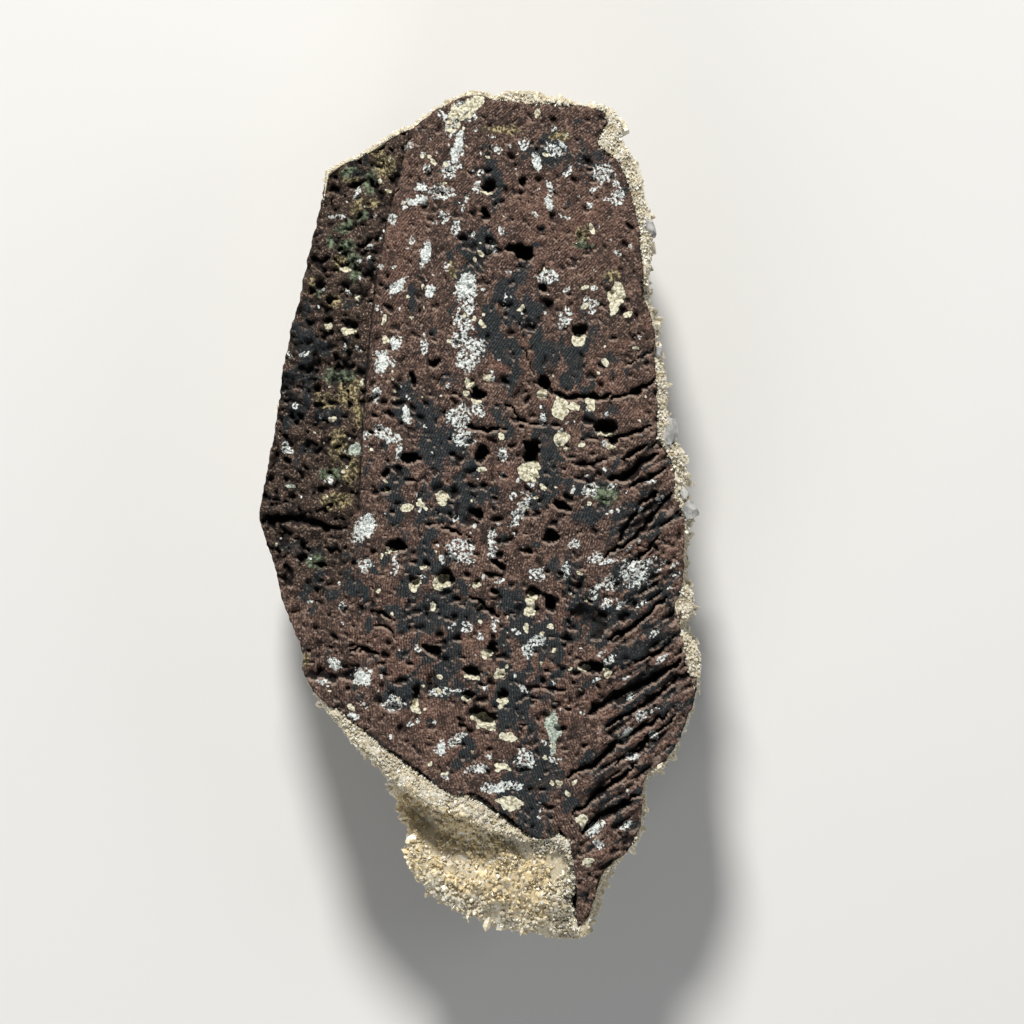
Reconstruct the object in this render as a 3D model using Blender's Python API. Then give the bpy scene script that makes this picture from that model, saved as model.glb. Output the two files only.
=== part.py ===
"""A cavansite specimen: a slab of vesicular basalt, sawn flat at its back and crusted with zeolite crystals.

The stone lies on its crystal side, with the sawn back up. +Z is up, +X runs to the right across the sawn back
and +Y towards its blunt top end. Lengths are in metres.
"""

import math
import random

import bmesh
import bpy
from mathutils import Matrix, Vector, noise
from mathutils.geometry import intersect_point_line

# Driving dimensions of the stone
LENGTH = 0.122
THICKNESS = 0.034
BASALT_DEPTH = 0.023
GAP = 0.0003

# Places on the sawn back are read in the photograph's pixels, X to the right and Y down
TOP_ROW = 90
BOTTOM_ROW = 945
MIDDLE_COLUMN = 482
PIXEL = LENGTH / (BOTTOM_ROW - TOP_ROW)

# The edge of the basalt's sawn back, clockwise from its top left corner
BASALT_EDGE = (
    (326, 172), (341, 163), (357, 157), (390, 136), (403, 129), (413, 128), (425, 117), (441, 106),
    (458, 98), (482, 97), (500, 100), (520, 105), (548, 104), (577, 106), (592, 108), (604, 113),
    (608, 122), (599, 134), (600, 147), (619, 161), (627, 180), (633, 204), (640, 225), (641, 256),
    (643, 282), (650, 308), (655, 345), (656, 375), (657, 410), (659, 438), (669, 453), (672, 482),
    (683, 514), (684, 548), (682, 584), (676, 606), (680, 628), (686, 655), (696, 682), (695, 698),
    (684, 728), (671, 753), (655, 767), (645, 776), (641, 792), (642, 815), (636, 842), (616, 861),
    (604, 873), (597, 895), (588, 917), (579, 926), (575, 905), (574, 862), (570, 842), (559, 833),
    (548, 839), (530, 837), (513, 829), (498, 818), (485, 807), (466, 797), (445, 789), (420, 776),
    (400, 761), (380, 745), (360, 727), (340, 711), (320, 697), (309, 684), (302, 669), (303, 656),
    (298, 640), (286, 612), (277, 588), (272, 566), (261, 547), (253, 527), (250, 513), (253, 498),
    (263, 460), (272, 424), (279, 386), (287, 345), (295, 312), (303, 275), (312, 235), (321, 198),
)

# The edge of the crystal crust, clockwise from the same corner, and its stretch hidden under the basalt's left side
CRUST_EDGE = (
    (325, 170), (340, 161), (356, 154), (388, 133), (402, 126), (413, 124), (424, 113), (440, 103),
    (456, 94), (470, 90), (482, 91), (494, 95), (508, 91), (520, 90), (533, 91), (547, 97),
    (562, 99), (586, 103), (600, 105), (613, 110), (620, 122), (622, 142), (632, 157), (641, 184),
    (645, 205), (650, 225), (649, 262), (650, 292), (657, 325), (659, 350), (665, 382), (666, 412),
    (671, 430), (677, 448), (686, 466), (684, 492), (690, 510), (688, 536), (687, 582), (693, 594),
    (692, 610), (684, 627), (693, 642), (702, 660), (700, 690), (690, 718), (674, 754), (662, 770),
    (650, 771), (646, 786), (646, 815), (641, 842), (620, 863), (604, 878), (599, 900), (588, 930),
    (578, 943), (566, 945), (553, 939), (530, 934), (502, 931), (468, 917), (432, 900), (415, 880),
    (408, 862), (412, 842), (405, 820), (397, 793), (377, 763), (350, 739), (330, 713), (315, 695),
)
HIDDEN_CRUST_EDGE = ((303, 672), (292, 628), (277, 580), (262, 544), (252, 513), (264, 462), (281, 384), (304, 276))
HIDDEN_INSET = 14

# The saw: a step down to the left strip, and a tilted cut that takes off the lower right side
STEP_LINE = ((416, 100), (410, 140), (401, 168), (388, 225), (378, 280), (370, 345), (364, 420), (360, 500), (357, 590))
STEP_LINE_END = (300, 690)
STEP_DROP = 0.0009
LEFT_TILT = math.radians(12)
LEFT_ROUGHNESS = 0.00045
RIDGE_TOP = (664, 330)
RIDGE_FOOT = (571, 850)
RIGHT_TILT = math.radians(9)

# Gas holes: column, row, half width, half height, turn in degrees, depth in millimetres
HOLES = (
    (515, 247, 11, 6, 10, 2.2), (525, 253, 10, 9, 0, 2.8), (532, 452, 9, 15, 4, 3.2), (605, 425, 14, 9, 0, 2.8),
    (614, 439, 6, 7, 0, 2.2), (410, 458, 10, 6.5, -8, 2.2), (388, 472, 5, 4.5, 0, 1.4), (386, 488, 5.5, 4, 0, 1.2),
    (413, 378, 3.5, 9, 12, 1.5), (545, 383, 6, 13, 38, 2.2), (580, 331, 9, 8, 0, 2.2), (477, 394, 8, 8, 0, 2.0),
    (483, 453, 6, 12, -8, 2.0), (489, 187, 9, 7, 0, 1.7), (486, 213, 4.5, 6.5, 0, 1.3), (523, 181, 4, 6.5, 0, 1.3),
    (490, 242, 6, 5, 0, 1.5), (543, 286, 7, 5.5, 0, 1.5), (434, 362, 4.5, 4.5, 0, 1.1), (328, 321, 6, 5, 0, 1.3),
    (350, 324, 9.5, 8, 0, 1.5), (397, 545, 11, 8, 0, 2.3), (446, 576, 9, 11, 25, 2.2), (414, 582, 6, 7.5, 0, 1.5),
    (424, 563, 4, 4.5, 0, 1.1), (476, 582, 4, 4.5, 0, 1.0), (500, 565, 10, 5, -35, 1.7), (553, 537, 10, 6.5, 8, 2.0),
    (530, 552, 4.5, 5, 0, 1.2), (533, 592, 9.5, 7, -15, 2.1), (551, 603, 6, 9, 10, 2.1), (493, 590, 4, 4, 0, 1.0),
    (492, 648, 8, 8, 0, 1.8), (471, 672, 10, 7, -5, 2.2), (469, 695, 7, 7, 0, 1.6), (502, 695, 6, 7, 0, 1.6),
    (484, 715, 15, 9, -22, 2.4), (416, 695, 4, 12, -6, 1.5), (592, 667, 13, 8, 0, 2.2), (478, 513, 9.5, 6, -12, 1.6),
    (561, 505, 11, 5, -30, 1.6), (589, 620, 22, 17, -25, 1.6), (432, 650, 13, 5.5, -28, 1.5), (272, 205, 5, 5, 0, 1.2),
)

# Cracks and the grooves of the lower right: width and depth in millimetres, then the line they follow
TRENCHES = (
    (1.5, 1.9, (246, 516), (268, 518), (292, 518), (318, 524), (346, 529)),
    (0.7, 0.9, (254, 507), (284, 502), (308, 499)),
    (0.8, 1.5, (463, 424), (485, 428), (507, 429)),
    (0.8, 1.3, (507, 404), (520, 417), (541, 424)),
    (1.1, 1.7, (548, 389), (570, 397), (592, 396), (613, 394)),
    (1.2, 1.7, (612, 399), (634, 392), (658, 376)),
    (0.9, 1.5, (570, 463), (590, 462), (607, 458)),
    (0.8, 1.3, (440, 527), (456, 531), (474, 538)),
    (1.0, 1.6, (469, 597), (485, 603), (498, 618)),
    (0.9, 1.5, (370, 610), (384, 613), (393, 620)),
    (0.8, 1.4, (374, 625), (388, 629), (399, 641)),
    (1.0, 1.5, (349, 652), (366, 648), (380, 656)),
    (0.7, 1.1, (364, 583), (380, 588)),
    (0.7, 1.1, (422, 500), (439, 514)),
    (0.7, 1.3, (493, 666), (515, 668)),
    (0.6, 1.0, (521, 318), (524, 352), (535, 374)),
    (0.5, 0.8, (318, 350), (345, 382), (352, 430)),
    (0.9, 1.3, (612, 338), (642, 333)),
    (1.0, 1.5, (622, 367), (655, 350)),
    (1.0, 1.5, (604, 436), (630, 433), (652, 425)),
    (1.2, 1.8, (620, 459), (634, 450), (648, 445)),
    (1.9, 2.2, (608, 480), (630, 473), (643, 463), (658, 453)),
    (1.2, 1.8, (628, 487), (645, 477), (664, 468)),
    (1.0, 1.6, (617, 541), (630, 520), (642, 500), (656, 489)),
    (1.0, 1.6, (605, 558), (632, 538), (654, 516), (672, 492)),
    (0.9, 1.4, (622, 568), (642, 553), (662, 534)),
    (1.1, 1.6, (606, 641), (626, 629), (644, 617), (668, 596)),
    (0.9, 1.4, (632, 663), (654, 655), (676, 636)),
    (1.7, 2.2, (587, 715), (608, 700), (633, 687), (656, 675), (682, 659)),
    (1.1, 1.7, (606, 726), (633, 710), (658, 695), (684, 676)),
    (1.2, 1.8, (566, 776), (594, 764), (612, 746), (640, 729), (668, 712)),
    (1.0, 1.6, (614, 766), (634, 753), (652, 736), (676, 716)),
    (1.0, 1.7, (572, 816), (592, 800), (614, 781), (641, 761)),
    (1.2, 1.8, (581, 834), (594, 820), (613, 808), (637, 795)),
)
STEP_SHADOW = (0.45, 0.8, (411, 132), (400, 172), (388, 227), (379, 280), (371, 345), (365, 410), (362, 500))

# Hollows of the druse at the lower end: column, row, radius in pixels, depth in millimetres
DRUSE_HOLLOWS = ((434, 830, 38, 5.5), (404, 806, 24, 5.5), (482, 852, 40, 3.2), (430, 905, 34, 4.0),
                 (500, 930, 40, 4.5), (560, 942, 22, 3.5), (545, 885, 30, 0.4))
DRUSE_FALL = 0.0012
DRUSE_CORNERS = ((346, 737), (372, 757), (400, 786), (428, 804), (462, 817), (492, 830), (525, 840), (560, 840),
                 (573, 866), (576, 931), (600, 960), (560, 985), (395, 960), (300, 760))

# Rings of each body: height below the sawn back, and inset towards the spine
BASALT_RINGS = ((0.0, 0.0), (0.004, 0.0006), (0.009, 0.0016), (0.014, 0.0034), (0.019, 0.0065), (0.023, 0.0135))
THINNEST_RIM = 0.0004
CRUST_RINGS = ((0.0006, 0.0), (0.0045, 0.0), (0.009, 0.0007), (0.0145, 0.0016), (0.0195, 0.003),
               (0.0238, 0.0056), (0.0272, 0.0092), (0.0296, 0.014), (0.0312, 0.021))
SPINE = ((478, 230), (505, 780))

# Larger crystals at the right-hand rim: column, row, width and length in millimetres, turn in degrees
RIM_CRYSTALS = ((644, 226, 2.2, 3.0, 15), (664, 429, 2.4, 4.0, 20), (685, 512, 2.0, 3.4, -5), (654, 364, 1.6, 2.6, 8),
                (681, 492, 1.5, 2.2, 25), (684, 598, 2.0, 2.8, -10), (691, 660, 2.2, 3.4, 12))
FEET = ((-0.014, 0.036), (0.017, 0.03), (-0.017, 0.0), (0.02, -0.006), (-0.006, -0.035), (0.014, -0.04))

# Cavansite rosettes: X and Y in millimetres, height of the centre and radius in millimetres
ROSETTES = (
    (24.6, 10.0, 12.0, 3.6), (25.5, -22.0, 10.2, 4.0), (24.3, -31.5, 9.5, 2.8), (4.1, -53.0, 11.0, 3.6),
    (-6.9, -41.0, 8.5, 3.0), (-23.9, -6.0, 9.5, 4.2), (-21.9, 22.0, 9.0, 3.2), (-5.4, 52.0, 8.8, 4.0),
    (1.1, 8.0, 5.2, 4.6), (4.6, -18.0, 4.6, 4.0), (-3.9, 27.0, 4.4, 3.8),
)

# Colour, roughness
BASALT_COLOUR = ((0.085, 0.047, 0.037), 0.8)
CRUST_COLOUR = ((0.62, 0.53, 0.33), 0.35)
CAVANSITE_COLOUR = ((0.01, 0.14, 0.48), 0.3)


def spot(column, row, height=0.0):
    """A place read on the photograph, in metres."""
    return Vector(((column - MIDDLE_COLUMN) * PIXEL, ((TOP_ROW + BOTTOM_ROW) / 2 - row) * PIXEL, height))


def clear_scene():
    for thing in list(bpy.data.objects):
        bpy.data.objects.remove(thing)


def finish_of(name, colour):
    material = bpy.data.materials.new(name)
    material.use_nodes = True
    shader = material.node_tree.nodes["Principled BSDF"]
    shader.inputs["Base Color"].default_value = (*colour[0], 1)
    shader.inputs["Roughness"].default_value = colour[1]
    shader.inputs["Metallic"].default_value = 0
    return material


def solid_from(name, corners, faces):
    """A mesh object from corners and faces, with its faces pointing out."""
    mesh = bpy.data.meshes.new(name)
    mesh.from_pydata([tuple(corner) for corner in corners], [], faces)
    shape = bmesh.new()
    shape.from_mesh(mesh)
    bmesh.ops.triangulate(shape, faces=shape.faces)
    bmesh.ops.recalc_face_normals(shape, faces=shape.faces)
    shape.to_mesh(mesh)
    shape.free()
    thing = bpy.data.objects.new(name, mesh)
    bpy.context.scene.collection.objects.link(thing)
    return thing


def stack(rings):
    """The faces of a closed body whose rings have the same number of corners."""
    count = len(rings[0])
    faces = [tuple(range(count)), tuple(reversed(range((len(rings) - 1) * count, len(rings) * count)))]
    for level in range(len(rings) - 1):
        for i in range(count):
            j = (i + 1) % count
            low, high = level * count, (level + 1) * count
            faces += [(low + i, high + i, high + j), (low + i, high + j, low + j)]
    return [corner for ring in rings for corner in ring], faces


def combine(body, operation, helpers):
    """Cuts the helpers from the body, or joins them to it, and removes them."""
    group = bpy.data.collections.new("helpers")
    for helper in helpers:
        group.objects.link(helper)
    step = body.modifiers.new(operation.lower(), "BOOLEAN")
    step.operation = operation
    step.solver = "EXACT"
    step.operand_type = "COLLECTION"
    step.collection = group
    graph = bpy.context.evaluated_depsgraph_get()
    made = bpy.data.meshes.new_from_object(body.evaluated_get(graph))
    body.modifiers.clear()
    body.data = made
    for helper in helpers:
        bpy.data.objects.remove(helper)
    bpy.data.collections.remove(group)


def tidy_mesh(body, merge):
    """Merges corners that a cut left almost on each other, and drops the crumbs that came loose."""
    shape = bmesh.new()
    shape.from_mesh(body.data)
    bmesh.ops.triangulate(shape, faces=shape.faces)
    if merge:
        bmesh.ops.remove_doubles(shape, verts=shape.verts, dist=merge)
        bmesh.ops.dissolve_degenerate(shape, edges=shape.edges, dist=merge)
        bmesh.ops.triangulate(shape, faces=shape.faces)
    pieces = loose_pieces(shape)
    largest = max(pieces, key=len)
    crumbs = [corner for piece in pieces if piece is not largest for corner in piece]
    bmesh.ops.delete(shape, geom=crumbs, context="VERTS")
    shape.to_mesh(body.data)
    shape.free()


def loose_pieces(shape):
    """The corners of each separate piece."""
    pieces, seen = [], set()
    for start in shape.verts:
        if start in seen:
            continue
        seen.add(start)
        piece, waiting = [], [start]
        while waiting:
            corner = waiting.pop()
            piece.append(corner)
            for edge in corner.link_edges:
                other = edge.other_vert(corner)
                if other not in seen:
                    seen.add(other)
                    waiting.append(other)
        pieces.append(piece)
    return pieces


def towards_spine(place, inset):
    """The place moved level towards the stone's spine."""
    nearest, along = intersect_point_line(place, spot(*SPINE[0]), spot(*SPINE[1]))
    nearest = spot(*SPINE[0]).lerp(spot(*SPINE[1]), min(1, max(0, along)))
    inwards = (nearest - place).to_2d().to_3d()
    reach = inwards.length
    return place + inwards / reach * min(inset, 0.9 * reach)


def lumps(place, size, grain):
    """A smooth, repeatable bump of up to about this size."""
    return size * noise.noise(place / grain)


def side_bump(flat, drop):
    """How far both sides sink in at a place: the basalt's and the crust's, so that the crust keeps its thickness."""
    return abs(lumps(Vector((flat.x, flat.y, drop)), 0.0012, 0.005)) * min(1, drop / 0.004)


def outside(outline, flat):
    """How far a place lies outside an outline, and the way out. It is negative inside."""
    corners = [spot(*place) for place in outline]
    nearest, way, crossings = 1.0, Vector((1, 0, 0)), 0
    for start, end in zip(corners, corners[1:] + corners[:1]):
        found, along = intersect_point_line(flat, start, end)
        away = flat - start.lerp(end, min(1, max(0, along)))
        if away.length < nearest:
            nearest, way = away.length, away.normalized()
        if (start.y > flat.y) != (end.y > flat.y):
            crossings += flat.x < start.x + (flat.y - start.y) * (end.x - start.x) / (end.y - start.y)
    return (-nearest, -way) if crossings % 2 else (nearest, way)


def right_cut(x, y):
    """The height of the tilted saw cut of the lower right side, above the sawn back where it takes nothing."""
    head, foot = spot(*RIDGE_TOP), spot(*RIDGE_FOOT)
    ridge = (head - foot).normalized()
    outwards = Vector((ridge.y, -ridge.x, 0))
    return THICKNESS - (Vector((x, y, 0)) - foot).dot(outwards) * math.tan(RIGHT_TILT)


def step_column(y):
    """The X of the step line at this Y."""
    line = [spot(*place) for place in STEP_LINE]
    for upper, lower in zip(line, line[1:]):
        if y >= lower.y:
            share = (upper.y - y) / (upper.y - lower.y)
            return upper.x + share * (lower.x - upper.x)
    return line[-1].x


def left_cut(x, y):
    """The height of the rough strip to the left of the step line."""
    rough = lumps(Vector((x, y, 0)), LEFT_ROUGHNESS, 0.0021) + lumps(Vector((x, y, 0.1)), LEFT_ROUGHNESS, 0.0052)
    return THICKNESS - STEP_DROP - max(0, step_column(y) - x) * math.tan(LEFT_TILT) + rough


def sawn_height(x, y):
    """The height of the sawn back at a place."""
    height = min(THICKNESS, right_cut(x, y))
    if x < step_column(y) and y > spot(*STEP_LINE_END).y:
        height = min(height, left_cut(x, y))
    return height


def grown(ring, swell):
    """The ring's corners moved level and outwards, so that each side moves by the swell."""
    corners = []
    for before, corner, after in zip(ring[-1:] + ring[:-1], ring, ring[1:] + ring[:1]):
        ways = [(end - start).normalized() for start, end in ((before, corner), (corner, after))]
        outwards = [Vector((-way.y, way.x, 0)) for way in ways]
        middle = (outwards[0] + outwards[1]).normalized()
        corners.append(corner + middle * swell / max(0.5, middle.dot(outwards[0])))
    return corners


def basalt_body(name, swell):
    """The basalt before the saw and its holes, swollen outwards by a small amount for the crust to fit round."""
    rings = []
    for drop, inset in BASALT_RINGS:
        height = THICKNESS - drop - (swell if drop == BASALT_DEPTH else 0)
        ring = []
        for place in BASALT_EDGE:
            flat = spot(*place)
            ring.append(towards_spine(flat, inset + side_bump(flat, drop)) + Vector((0, 0, height)))
        rings.append(grown(ring, swell))
    if swell:
        rings.insert(0, [corner + Vector((0, 0, 0.003)) for corner in rings[0]])
    return solid_from(name, *stack(rings))


def crust_body(name):
    """The whole crust before the basalt is taken out of it, hidden under the basalt's left side."""
    rings = []
    for drop, inset in CRUST_RINGS:
        hidden = max(0, 1 - max(0, drop - 0.006) / 0.012)
        ring = []
        for place in CRUST_EDGE + HIDDEN_CRUST_EDGE:
            flat = spot(*place)
            if place in HIDDEN_CRUST_EDGE:
                flat.x += HIDDEN_INSET * PIXEL * hidden
            else:
                rim, outwards = outside(BASALT_EDGE, flat)
                wanted = rim if rim > GAP + THINNEST_RIM else -THINNEST_RIM if drop < 0.004 else THINNEST_RIM
                flat += outwards * (wanted - rim)
            swell = abs(lumps(Vector((flat.x, flat.y, 3 * drop)), 0.0026, 0.0038))
            sink = max(0, inset + side_bump(flat, drop) - swell)
            height = THICKNESS - drop + lumps(flat, 0.0016 if drop > 0.025 else 0, 0.006)
            ring.append(towards_spine(flat, sink) + Vector((0, 0, height)))
        rings.append(ring)
    return solid_from(name, *stack(rings))


def left_wedge():
    """What the saw and the hammer took off the left strip: a block with a rough underside."""
    rows = [TOP_ROW - 10 + 20 * i for i in range(31)]
    shares = [i / 6 for i in range(7)]
    corners, faces = [], []
    for top in (False, True):
        for row in rows:
            inner = spot(0, row)
            inner.x = step_column(inner.y)
            outer = spot(235, row)
            for share in shares:
                place = inner.lerp(outer, share)
                place.z = THICKNESS + 0.004 if top else left_cut(place.x, place.y)
                corners.append(place)
    wide, high = len(shares), len(rows)
    layer = wide * high
    for j in range(high - 1):
        for i in range(wide - 1):
            a = j * wide + i
            faces.append((a, a + 1, a + wide + 1, a + wide))
            faces.append((layer + a, layer + a + wide, layer + a + wide + 1, layer + a + 1))
    border = list(range(wide)) + [j * wide + wide - 1 for j in range(1, high)]
    border += [(high - 1) * wide + i for i in range(wide - 2, -1, -1)] + [j * wide for j in range(high - 2, 0, -1)]
    for a, b in zip(border, border[1:] + border[:1]):
        faces.append((a, b, layer + b, layer + a))
    return solid_from("left wedge", corners, faces)


def right_wedge(lower=0.0):
    """What the second saw cut took off the lower right side."""
    head, foot = spot(*RIDGE_TOP), spot(*RIDGE_FOOT)
    ridge = (head - foot).normalized()
    outwards = Vector((ridge.y, -ridge.x, 0))
    corners = []
    for start in (foot - ridge * 0.04, head + ridge * 0.04):
        for reach in (-0.004, 0.05):
            place = start + outwards * reach
            corners.append(Vector((place.x, place.y, right_cut(place.x, place.y) - lower)))
    corners += [Vector((c.x, c.y, THICKNESS + 0.004)) for c in corners]
    faces = [(0, 1, 3, 2), (4, 6, 7, 5), (0, 4, 5, 1), (1, 5, 7, 3), (3, 7, 6, 2), (2, 6, 4, 0)]
    return solid_from("right wedge", corners, faces)


def hole_cutter(number, column, row, half_width, half_height, turn, depth):
    """A dented ball that leaves one gas hole."""
    centre = spot(column, row)
    centre.z = sawn_height(centre.x, centre.y)
    shape = bmesh.new()
    bmesh.ops.create_uvsphere(shape, u_segments=8, v_segments=5, radius=1)
    spin = Matrix.Rotation(math.radians(turn), 3, "Z")
    for corner in shape.verts:
        dent = 1 + 0.16 * noise.noise(corner.co * 1.7 + Vector((number, 0, 0)))
        x, y, z = corner.co * dent
        flat = spin @ Vector((x * half_width * PIXEL, y * half_height * PIXEL, 0))
        corner.co = centre + flat + Vector((0, 0, z * depth / 1000))
    mesh = bpy.data.meshes.new("hole")
    shape.to_mesh(mesh)
    shape.free()
    cutter = bpy.data.objects.new("hole", mesh)
    bpy.context.scene.collection.objects.link(cutter)
    return cutter


def trench_cutter(width, depth, *line):
    """A V-shaped cutter along a line, tapering to both ends."""
    places = [spot(*place) for place in line]
    rings = []
    for i, place in enumerate(places):
        before, after = places[max(0, i - 1)], places[min(len(places) - 1, i + 1)]
        across = (after - before).normalized().cross(Vector((0, 0, 1)))
        taper = 0.35 if i in (0, len(places) - 1) else 1
        half = width / 2000 * taper
        height = sawn_height(place.x, place.y)
        lean = across * 0.25 * half
        rings.append((
            place + across * 1.6 * half + Vector((0, 0, height + 0.0012)),
            place + lean + Vector((0, 0, height - depth / 1000 * (0.5 + 0.5 * taper))),
            place - across * 1.6 * half + Vector((0, 0, height + 0.0012)),
        ))
    return solid_from("trench", *stack(rings))


def druse_height(x, y):
    """The height of the crystal-lined hollow at the stone's lower end."""
    fall = max(0, spot(0, 800).y - y)
    height = THICKNESS - 0.0006 - fall * DRUSE_FALL / 0.01
    for column, row, radius, depth in DRUSE_HOLLOWS:
        away = (Vector((x, y, 0)) - spot(column, row)).length / (radius * PIXEL)
        height -= depth / 1000 * math.exp(-away * away)
    return height + lumps(Vector((x, y, 0)), 0.0007, 0.0028)


def druse_wedge():
    """What is missing at the lower end, down to the crystals that line it."""
    outline = [spot(*place) for place in DRUSE_CORNERS]
    shape = bmesh.new()
    low = shape.faces.new([shape.verts.new(place) for place in outline])
    cells = 17
    low_corner = Vector((min(p.x for p in outline), min(p.y for p in outline), 0))
    high_corner = Vector((max(p.x for p in outline), max(p.y for p in outline), 0))
    for axis in (0, 1):
        for i in range(1, cells):
            normal = Vector((axis == 0, axis == 1, 0))
            at = low_corner.lerp(high_corner, i / cells)
            bmesh.ops.bisect_plane(shape, geom=shape.verts[:] + shape.edges[:] + shape.faces[:],
                                   plane_co=at, plane_no=normal)
    bmesh.ops.triangulate(shape, faces=shape.faces)
    floor = shape.faces[:]
    lid = bmesh.ops.extrude_face_region(shape, geom=floor)
    for corner in (item for item in lid["geom"] if isinstance(item, bmesh.types.BMVert)):
        corner.co.z = THICKNESS + 0.003
    for corner in shape.verts:
        if corner.co.z < THICKNESS:
            corner.co.z = druse_height(corner.co.x, corner.co.y)
    bmesh.ops.triangulate(shape, faces=shape.faces)
    bmesh.ops.recalc_face_normals(shape, faces=shape.faces)
    mesh = bpy.data.meshes.new("druse wedge")
    shape.to_mesh(mesh)
    shape.free()
    cutter = bpy.data.objects.new("druse wedge", mesh)
    bpy.context.scene.collection.objects.link(cutter)
    return cutter


def tablet(base, towards, spin, width, thickness, length):
    """A flat, chisel-tipped zeolite crystal growing from its base."""
    shoulder = 0.68 * length
    corners = [
        (-0.4 * width, -0.5 * thickness, 0), (0.4 * width, -0.5 * thickness, 0),
        (0.4 * width, 0.5 * thickness, 0), (-0.4 * width, 0.5 * thickness, 0),
        (-0.5 * width, -0.5 * thickness, shoulder), (0.5 * width, -0.5 * thickness, shoulder),
        (0.5 * width, 0.5 * thickness, shoulder), (-0.5 * width, 0.5 * thickness, shoulder),
        (-0.22 * width, 0, length), (0.22 * width, 0, length),
    ]
    faces = [(0, 3, 2, 1), (0, 1, 5, 4), (1, 2, 6, 5), (2, 3, 7, 6), (3, 0, 4, 7),
             (4, 5, 9, 8), (6, 7, 8, 9), (5, 6, 9), (7, 4, 8)]
    turn = towards.to_track_quat("Z", "Y").to_matrix() @ Matrix.Rotation(spin, 3, "Z")
    return solid_from("tablet", [base + turn @ Vector(corner) for corner in corners], faces)


def rim_crystals():
    """The larger crystals that show past the right-hand edge."""
    made = []
    for column, row, width, length, turn in RIM_CRYSTALS:
        at = spot(column, row)
        at.z = min(THICKNESS, right_cut(at.x, at.y)) - 0.0026
        towards = Matrix.Rotation(math.radians(turn), 3, "Z") @ Vector((1, 0, 0.12))
        made.append(tablet(at - towards.normalized() * 0.55 * length / 1000, towards, math.radians(30),
                           width / 1000, 0.7 * width / 1000, length / 1000))
    return made


def front_crystals(body, chance):
    """Zeolite tablets spread over the crust's sides and underside."""
    made = []
    faces = [face for face in body.data.polygons if face.area > 2e-6 and face.normal.z < 0.35]
    for face in faces:
        if chance.random() > 0.2 or face.center.z > 0.7 * THICKNESS:
            continue
        lean = Vector((chance.uniform(-0.5, 0.5), chance.uniform(-0.5, 0.5), chance.uniform(-0.35, 0.35)))
        towards = (face.normal + lean).normalized()
        width = chance.uniform(0.0022, 0.0038)
        length = chance.uniform(0.0026, 0.004)
        base = face.center - towards * 0.0014
        tip = base + towards * length
        if tip.z > 0.0006 and outside(CRUST_EDGE + HIDDEN_CRUST_EDGE, Vector((tip.x, tip.y, 0)))[0] < -0.0003:
            made.append(tablet(base, towards, chance.uniform(0, math.pi), width, 0.45 * width, length))
    return made


def foot_crystals(chance):
    """The upright tablets that the stone stands on, each just touching the ground."""
    made = []
    for x, y in FEET:
        base = Vector((x, y, 0.0056))
        foot = tablet(base, Vector((0, 0, -1)), chance.uniform(0, math.pi), 0.0046, 0.0022, base.z)
        side = tablet(base + Vector((0.0012, 0.0008, 0)), Vector((0.4, 0.3, -1)), chance.uniform(0, math.pi),
                      0.0034, 0.0016, 0.0044)
        made += [foot, side]
    return made


def rosette(number, x, y, height, radius):
    """A spiny ball of cavansite blades."""
    shape = bmesh.new()
    bmesh.ops.create_icosphere(shape, subdivisions=2, radius=0.62 * radius / 1000)
    chance = random.Random(number)
    for face in list(shape.faces):
        tip = face.calc_center_median().normalized() * radius / 1000 * chance.uniform(0.86, 0.99)
        bmesh.ops.poke(shape, faces=[face])["verts"][0].co = tip
    mesh = bpy.data.meshes.new(f"cavansite_rosette_{number}")
    shape.to_mesh(mesh)
    shape.free()
    thing = bpy.data.objects.new(mesh.name, mesh)
    thing.location = Vector((x, y, height)) / 1000
    bpy.context.scene.collection.objects.link(thing)
    return thing


def rosette_nest(x, y, height, radius):
    """The pocket in the crust that a rosette sits in."""
    shape = bmesh.new()
    bmesh.ops.create_icosphere(shape, subdivisions=2, radius=(radius / 1000 + GAP) / 0.94)
    mesh = bpy.data.meshes.new("nest")
    shape.to_mesh(mesh)
    shape.free()
    mesh.transform(Matrix.Translation(Vector((x, y, height)) / 1000))
    cutter = bpy.data.objects.new("nest", mesh)
    bpy.context.scene.collection.objects.link(cutter)
    return cutter


def make_basalt():
    basalt = basalt_body("basalt_matrix", 0)
    combine(basalt, "DIFFERENCE", [left_wedge(), right_wedge()])
    holes = [hole_cutter(number, *hole) for number, hole in enumerate(HOLES)]
    trenches = [trench_cutter(*trench) for trench in TRENCHES + (STEP_SHADOW,)]
    combine(basalt, "DIFFERENCE", holes + trenches)
    tidy_mesh(basalt, 0.00003)
    basalt.data.materials.clear()
    basalt.data.materials.append(finish_of("basalt", BASALT_COLOUR))
    return basalt


def make_crust():
    chance = random.Random(4)
    crust = crust_body("zeolite_crust")
    crystals = front_crystals(crust, chance)
    combine(crust, "DIFFERENCE", [left_wedge(), right_wedge(GAP), druse_wedge()])
    combine(crust, "UNION", crystals + foot_crystals(chance) + rim_crystals())
    combine(crust, "DIFFERENCE", [basalt_body("basalt room", GAP)] + [rosette_nest(*place) for place in ROSETTES])
    tidy_mesh(crust, 0)
    crust.data.materials.clear()
    crust.data.materials.append(finish_of("zeolite", CRUST_COLOUR))
    return crust


def make_rosettes():
    finish = finish_of("cavansite", CAVANSITE_COLOUR)
    for number, place in enumerate(ROSETTES, start=1):
        ball = rosette(number, *place)
        ball.data.materials.append(finish)


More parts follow.
